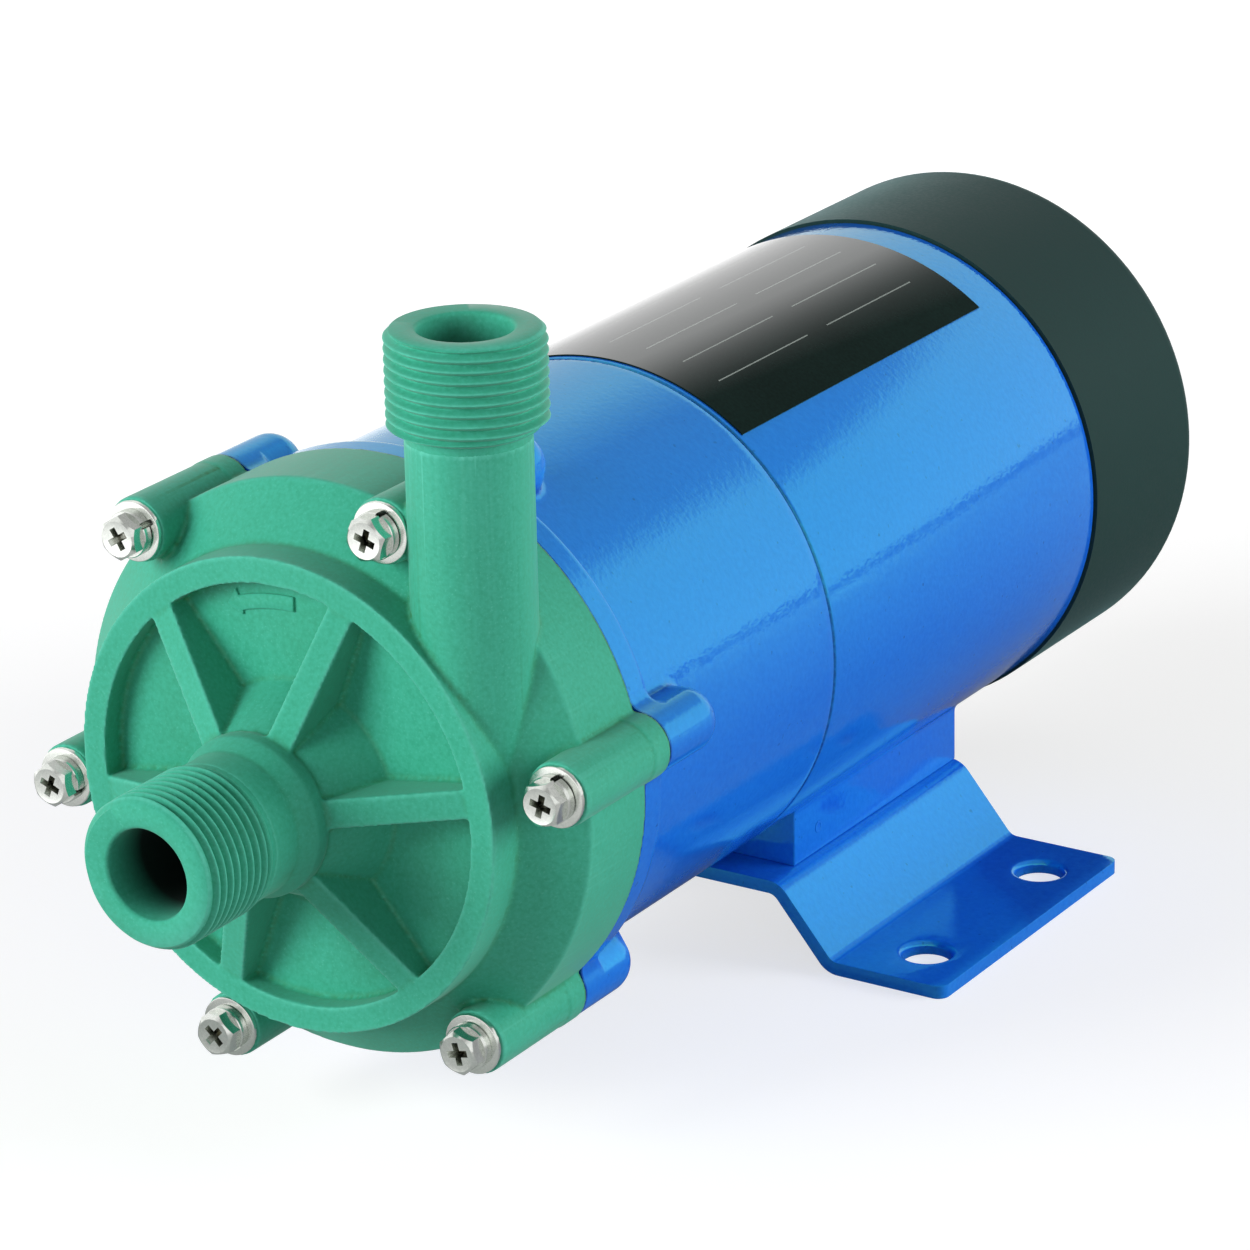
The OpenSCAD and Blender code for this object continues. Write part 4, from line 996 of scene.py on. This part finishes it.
def hex_head(base, steps=96):
    """A hex head whose top corners are turned off, on a round shank."""
    inner = HEAD_ACROSS / 2
    turned_off = inner * 0.91
    top = base + HEAD_HIGH
    end = base - SHANK_LENGTH
    turns = 2 * np.pi * np.arange(steps) / steps
    reach = inner / np.cos(turns % (math.pi / 3) - math.pi / 6)
    side = top - (reach - turned_off) * 0.75
    levels = [
        (SHANK_RADIUS, end), (SHANK_RADIUS, base), (reach, base), (reach, side), (turned_off, top),
        (turned_off * 0.80, top - 0.12),
    ]
    rows = [round_row(radius, z, upright, steps) for radius, z in levels]
    return skin([[(0.0, 0.0, end)]] + rows + [[(0.0, 0.0, top - 0.22)]])


def cut_recess(screw, top):
    """Cuts a cross recess that narrows downwards, and marks the points down in it for painted shade."""
    for turn in (0.0, math.pi / 2):
        cos = math.cos(turn)
        sin = math.sin(turn)
        rows = []
        for half_long, half_wide, up in (RECESS_TOP, RECESS_BOTTOM):
            corners = [(a * half_long, b * half_wide) for a, b in ((1, 1), (-1, 1), (-1, -1), (1, -1))]
            rows.append([(x * cos - y * sin, x * sin + y * cos, top + up) for x, y in corners])
        cut_out(screw, skin(rows))
    marks = []
    for point in screw.data.vertices:
        depth = top - point.co.z / MM
        reach = math.hypot(point.co.x, point.co.y) / MM
        marks.append(-1.0 if 0.3 < depth < 2.5 and reach < 1.9 else 0.0)
    return marks


def split_ring(base, steps=64):
    """A spring ring cut through once, with its two ends a little apart in height."""
    inner, outer, thick = SPLIT_RING
    section = [
        (inner, 0.1), (inner, thick - 0.1), (inner + 0.1, thick), (outer - 0.15, thick),
        (outer, thick - 0.15), (outer, 0.15), (outer - 0.15, 0.0), (inner + 0.1, 0.0),
    ]
    rows = []
    for i in range(steps + 1):
        turn = math.radians(8.0 + 344.0 * i / steps)
        lift = 0.25 * (i / steps - 0.5)
        rows.append([(out * math.cos(turn), out * math.sin(turn), base + z + lift) for out, z in section])
    return skin(rows)


washer_inner, washer_outer, washer_thick = FLAT_WASHER
washer_line = rounded_tube(washer_outer, washer_inner, 0.0, washer_thick, WASHER_EDGE, 3)
head_from = washer_thick + SPLIT_RING[2]
fastener = make_piece("fastener", [hex_head(head_from)])
recess_shade = cut_recess(fastener, head_from + HEAD_HIGH)
add_to(fastener, make_piece("rings", [
    split_ring(washer_thick + 0.12), turned_shell(washer_line, upright, 64, ring=True)]))
shade(fastener, 32.0)
store_edges(fastener, recess_shade)

ring_of_fasteners = bpy.data.node_groups.new("ring_of_fasteners", "GeometryNodeTree")
ring_of_fasteners.is_modifier = True
sockets = {}
for label, kind in (
    ("Fastener", "Object"), ("Count", "Int"), ("Circle", "Float"), ("First Turn", "Rotation"),
    ("Seat", "Vector"), ("Facing", "Rotation"), ("Seed", "Int"), ("Finish", "Material"),
):
    sockets[label] = ring_of_fasteners.interface.new_socket(
        label, in_out="INPUT", socket_type="NodeSocket" + kind)
ring_of_fasteners.interface.new_socket("Geometry", in_out="OUTPUT", socket_type="NodeSocketGeometry")


def fitted(kind, **wired):
    """Adds a node to the ring of fasteners, with its inputs wired or set."""
    node = ring_of_fasteners.nodes.new(kind)
    for label, value in wired.items():
        put(ring_of_fasteners, node.inputs[label.replace("_", " ")], value)
    return node


given = fitted("NodeGroupInput").outputs
circle = fitted("GeometryNodeMeshCircle", Vertices=given["Count"], Radius=given["Circle"])
turned = fitted("GeometryNodeTransform", Geometry=circle.outputs["Mesh"], Rotation=given["First Turn"])
unit = fitted("GeometryNodeObjectInfo", Object=given["Fastener"], As_Instance=True)
spin = fitted("FunctionNodeRandomValue")
spin.data_type = "FLOAT_VECTOR"
spin.inputs[0].default_value = (0.0, 0.0, 0.0)
spin.inputs[1].default_value = (0.0, 0.0, 2 * math.pi)
put(ring_of_fasteners, spin.inputs["Seed"], given["Seed"])
placed = fitted(
    "GeometryNodeInstanceOnPoints", Points=turned.outputs["Geometry"], Instance=unit.outputs["Geometry"],
    Rotation=spin.outputs[0])
realized = fitted("GeometryNodeRealizeInstances", Geometry=placed.outputs["Instances"])
seated = fitted(
    "GeometryNodeTransform", Geometry=realized.outputs["Geometry"], Translation=given["Seat"],
    Rotation=given["Facing"])
coated = fitted("GeometryNodeSetMaterial", Geometry=seated.outputs["Geometry"], Material=given["Finish"])
fitted("NodeGroupOutput", Geometry=coated.outputs["Geometry"])


def ring_of(name, unit_piece, count, circle_radius, first_turn, station, facing, seed, material):
    """Places copies of a fastener round the shaft at one station and returns them as one piece."""
    piece = bpy.data.objects.new(name, bpy.data.meshes.new(name))
    bpy.context.scene.collection.objects.link(piece)
    step = piece.modifiers.new("ring", "NODES")
    step.node_group = ring_of_fasteners
    values = {
        "Fastener": unit_piece, "Count": count, "Circle": circle_radius * MM,
        "First Turn": (0.0, 0.0, math.radians(first_turn)), "Facing": (math.radians(facing), 0.0, 0.0),
        "Seat": (0.0, (JOINT_Y + station) * MM, SHAFT_Z * MM), "Seed": seed, "Finish": material,
    }
    for label, value in values.items():
        step[sockets[label].identifier] = value
    settle(piece)
    bpy.data.objects.remove(unit_piece)
    return piece


casing_screws = ring_of(
    "casing_fasteners", fastener, LOBES, SCREW_CIRCLE, LOBE_TURN, BOSS_FRONT, 90.0, SCREW_SEED, zinc)
shade(casing_screws, 32.0)
hand_over(
    casing_screws, "pump_body", "zinc_steel", zinc, "casing_screws", "split_washers", "flat_washers")


# Cover screws: three zinc-plated pan-head screws with a cross recess hold the fan cover to the posts
# moulded inside it. Their heads stand on its flat rear.
COVER_END = 205.4
POST_CIRCLE = 42.2
PAN_TOP = 2.4
PAN_LINE = [
    (0.0, -36.0), (2.0, -36.0), (2.0, 0.0), (3.3, 0.0), (3.3, 0.8), (3.15, 1.35), (2.75, 1.85), (2.0, 2.2),
    (1.0, 2.37), (0.0, PAN_TOP),
]
PAN_SEED = 3
pan_screw = make_piece("pan_screw", [turned_shell(PAN_LINE, upright, 48)])
recess_shade = cut_recess(pan_screw, PAN_TOP)
shade(pan_screw, 40.0)
store_edges(pan_screw, recess_shade)
cover_screws = ring_of(
    "cover_fasteners", pan_screw, 3, POST_CIRCLE, -90.0, COVER_END, -90.0, PAN_SEED, zinc)
shade(cover_screws, 40.0)
hand_over(cover_screws, "pump_body", "zinc_steel", zinc, "cover_screws")


# Studio: a white table and background, a large soft lamp in front on the left, one on the right behind
# and a weak one in front on the right. Gloss shows no lamp, only the room: white, darker overhead.
# The table's own glow is painted darker close round the pump, and in gloss it shows a painted reflection,
# brighter on the key lamp's side and dark near the pump.
CAMERA_AT = (0.48333, -0.78044, 0.39389)
CAMERA_TURN = 32.95
CAMERA_RISE = 20.59
CAMERA_ROLL = -1.31
CAMERA_LENS = 151.2
LAMPS = [
    ("key", (-0.95, -1.55, 0.7), 1.0, 38.5),
    ("rim", (1.6, 0.8, 0.45), 1.0, 33.0),
    ("fill", (1.0, -1.5, 0.3), 1.2, 7.5),
]
AIM = (0.0, -0.03, 0.07)

pose = Matrix.Translation(CAMERA_AT)
for angle, axis in ((CAMERA_TURN, "Z"), (90.0 - CAMERA_RISE, "X"), (CAMERA_ROLL, "Z")):
    pose = pose @ Matrix.Rotation(math.radians(angle), 4, axis)
camera_data = bpy.data.cameras.new("camera")
camera_data.lens = CAMERA_LENS
camera_data.sensor_width = 36.0
camera_data.clip_start = 0.01
camera = bpy.data.objects.new("camera", camera_data)
camera.matrix_world = pose
bpy.context.scene.collection.objects.link(camera)
bpy.context.scene.camera = camera

for name, place, size, power in LAMPS:
    data = bpy.data.lights.new(name, "AREA")
    data.size = size
    data.energy = power
    lamp = bpy.data.objects.new(name, data)
    turned = (Vector(AIM) - Vector(place)).to_track_quat("-Z", "Y")
    lamp.matrix_world = Matrix.Translation(place) @ turned.to_matrix().to_4x4()
    lamp.visible_glossy = False
    bpy.context.scene.collection.objects.link(lamp)

floor_mesh = bpy.data.meshes.new("floor")
floor_mesh.from_pydata([(-6, -6, 0), (6, -6, 0), (6, 6, 0), (-6, 6, 0)], [], [[0, 1, 2, 3]])
floor = bpy.data.objects.new("floor", floor_mesh)
bpy.context.scene.collection.objects.link(floor)
floor_white = bpy.data.materials.new("floor_white")
floor_white.use_nodes = True
tree = floor_white.node_tree
tree.nodes.clear()
matt = tree.nodes.new("ShaderNodeBsdfDiffuse")
matt.inputs["Color"].default_value = (0.45, 0.45, 0.45, 1.0)
glow = tree.nodes.new("ShaderNodeEmission")
path = tree.nodes.new("ShaderNodeLightPath")
mirrored = reckon(tree, "MAXIMUM", path.outputs["Is Glossy Ray"], path.outputs["Is Transmission Ray"])
floor_place = tree.nodes.new("ShaderNodeTexCoord").outputs["Object"]
reach = measure(tree, "LENGTH", floor_place)
# The floor glows less near the pump: a painted darkening round it, so that its shadow shows.
plain = remap(tree, reach, 0.15, 0.6, 0.67, 0.96)
plainly = reckon(tree, "MULTIPLY", path.outputs["Is Camera Ray"], plain)
across = tree.nodes.new("ShaderNodeSeparateXYZ")
put(tree, across.inputs["Vector"], floor_place)
# Painted reflection of the floor in gloss: brighter on the key lamp's side on the left, dark close round the
# pump.
painted_lit_side = reckon(tree, "MULTIPLY", mirrored, remap(tree, across.outputs["X"], -0.25, 0.2, 1.0, 0.15))
painted_floor_reflection = reckon(tree, "MULTIPLY", painted_lit_side, remap(tree, reach, 0.12, 0.42))
put(tree, glow.inputs["Strength"], reckon(tree, "ADD", plainly, painted_floor_reflection))
both = tree.nodes.new("ShaderNodeAddShader")
put(tree, both.inputs[0], matt.outputs["BSDF"])
put(tree, both.inputs[1], glow.outputs["Emission"])
put(tree, tree.nodes.new("ShaderNodeOutputMaterial").inputs["Surface"], both.outputs["Shader"])
floor_mesh.materials.append(floor_white)

world = bpy.data.worlds.new("studio")
bpy.context.scene.world = world
world.use_nodes = True
tree = world.node_tree
backdrop = tree.nodes["Background"]
path = tree.nodes.new("ShaderNodeLightPath")
seen = reckon(tree, "MAXIMUM", path.outputs["Is Camera Ray"], path.outputs["Is Glossy Ray"])
seen = reckon(tree, "MAXIMUM", seen, path.outputs["Is Transmission Ray"])
way = tree.nodes.new("ShaderNodeSeparateXYZ")
put(tree, way.inputs["Vector"], tree.nodes.new("ShaderNodeTexCoord").outputs["Generated"])
high_up = remap(tree, way.outputs["Z"], 0.46, 0.53)
overhead = reckon(tree, "MULTIPLY", high_up, remap(tree, way.outputs["X"], -0.42, -0.08))
ceiling = remap(tree, overhead, 0.0, 1.0, 1.0, 0.45)
shown = reckon(tree, "MULTIPLY", seen, ceiling)
unseen = reckon(tree, "MULTIPLY", reckon(tree, "SUBTRACT", 1.0, seen), 0.17)
put(tree, backdrop.inputs["Strength"], reckon(tree, "ADD", shown, unseen))
backdrop.inputs["Color"].default_value = (1.0, 1.0, 1.0, 1.0)
bpy.context.scene.view_settings.view_transform = "Standard"
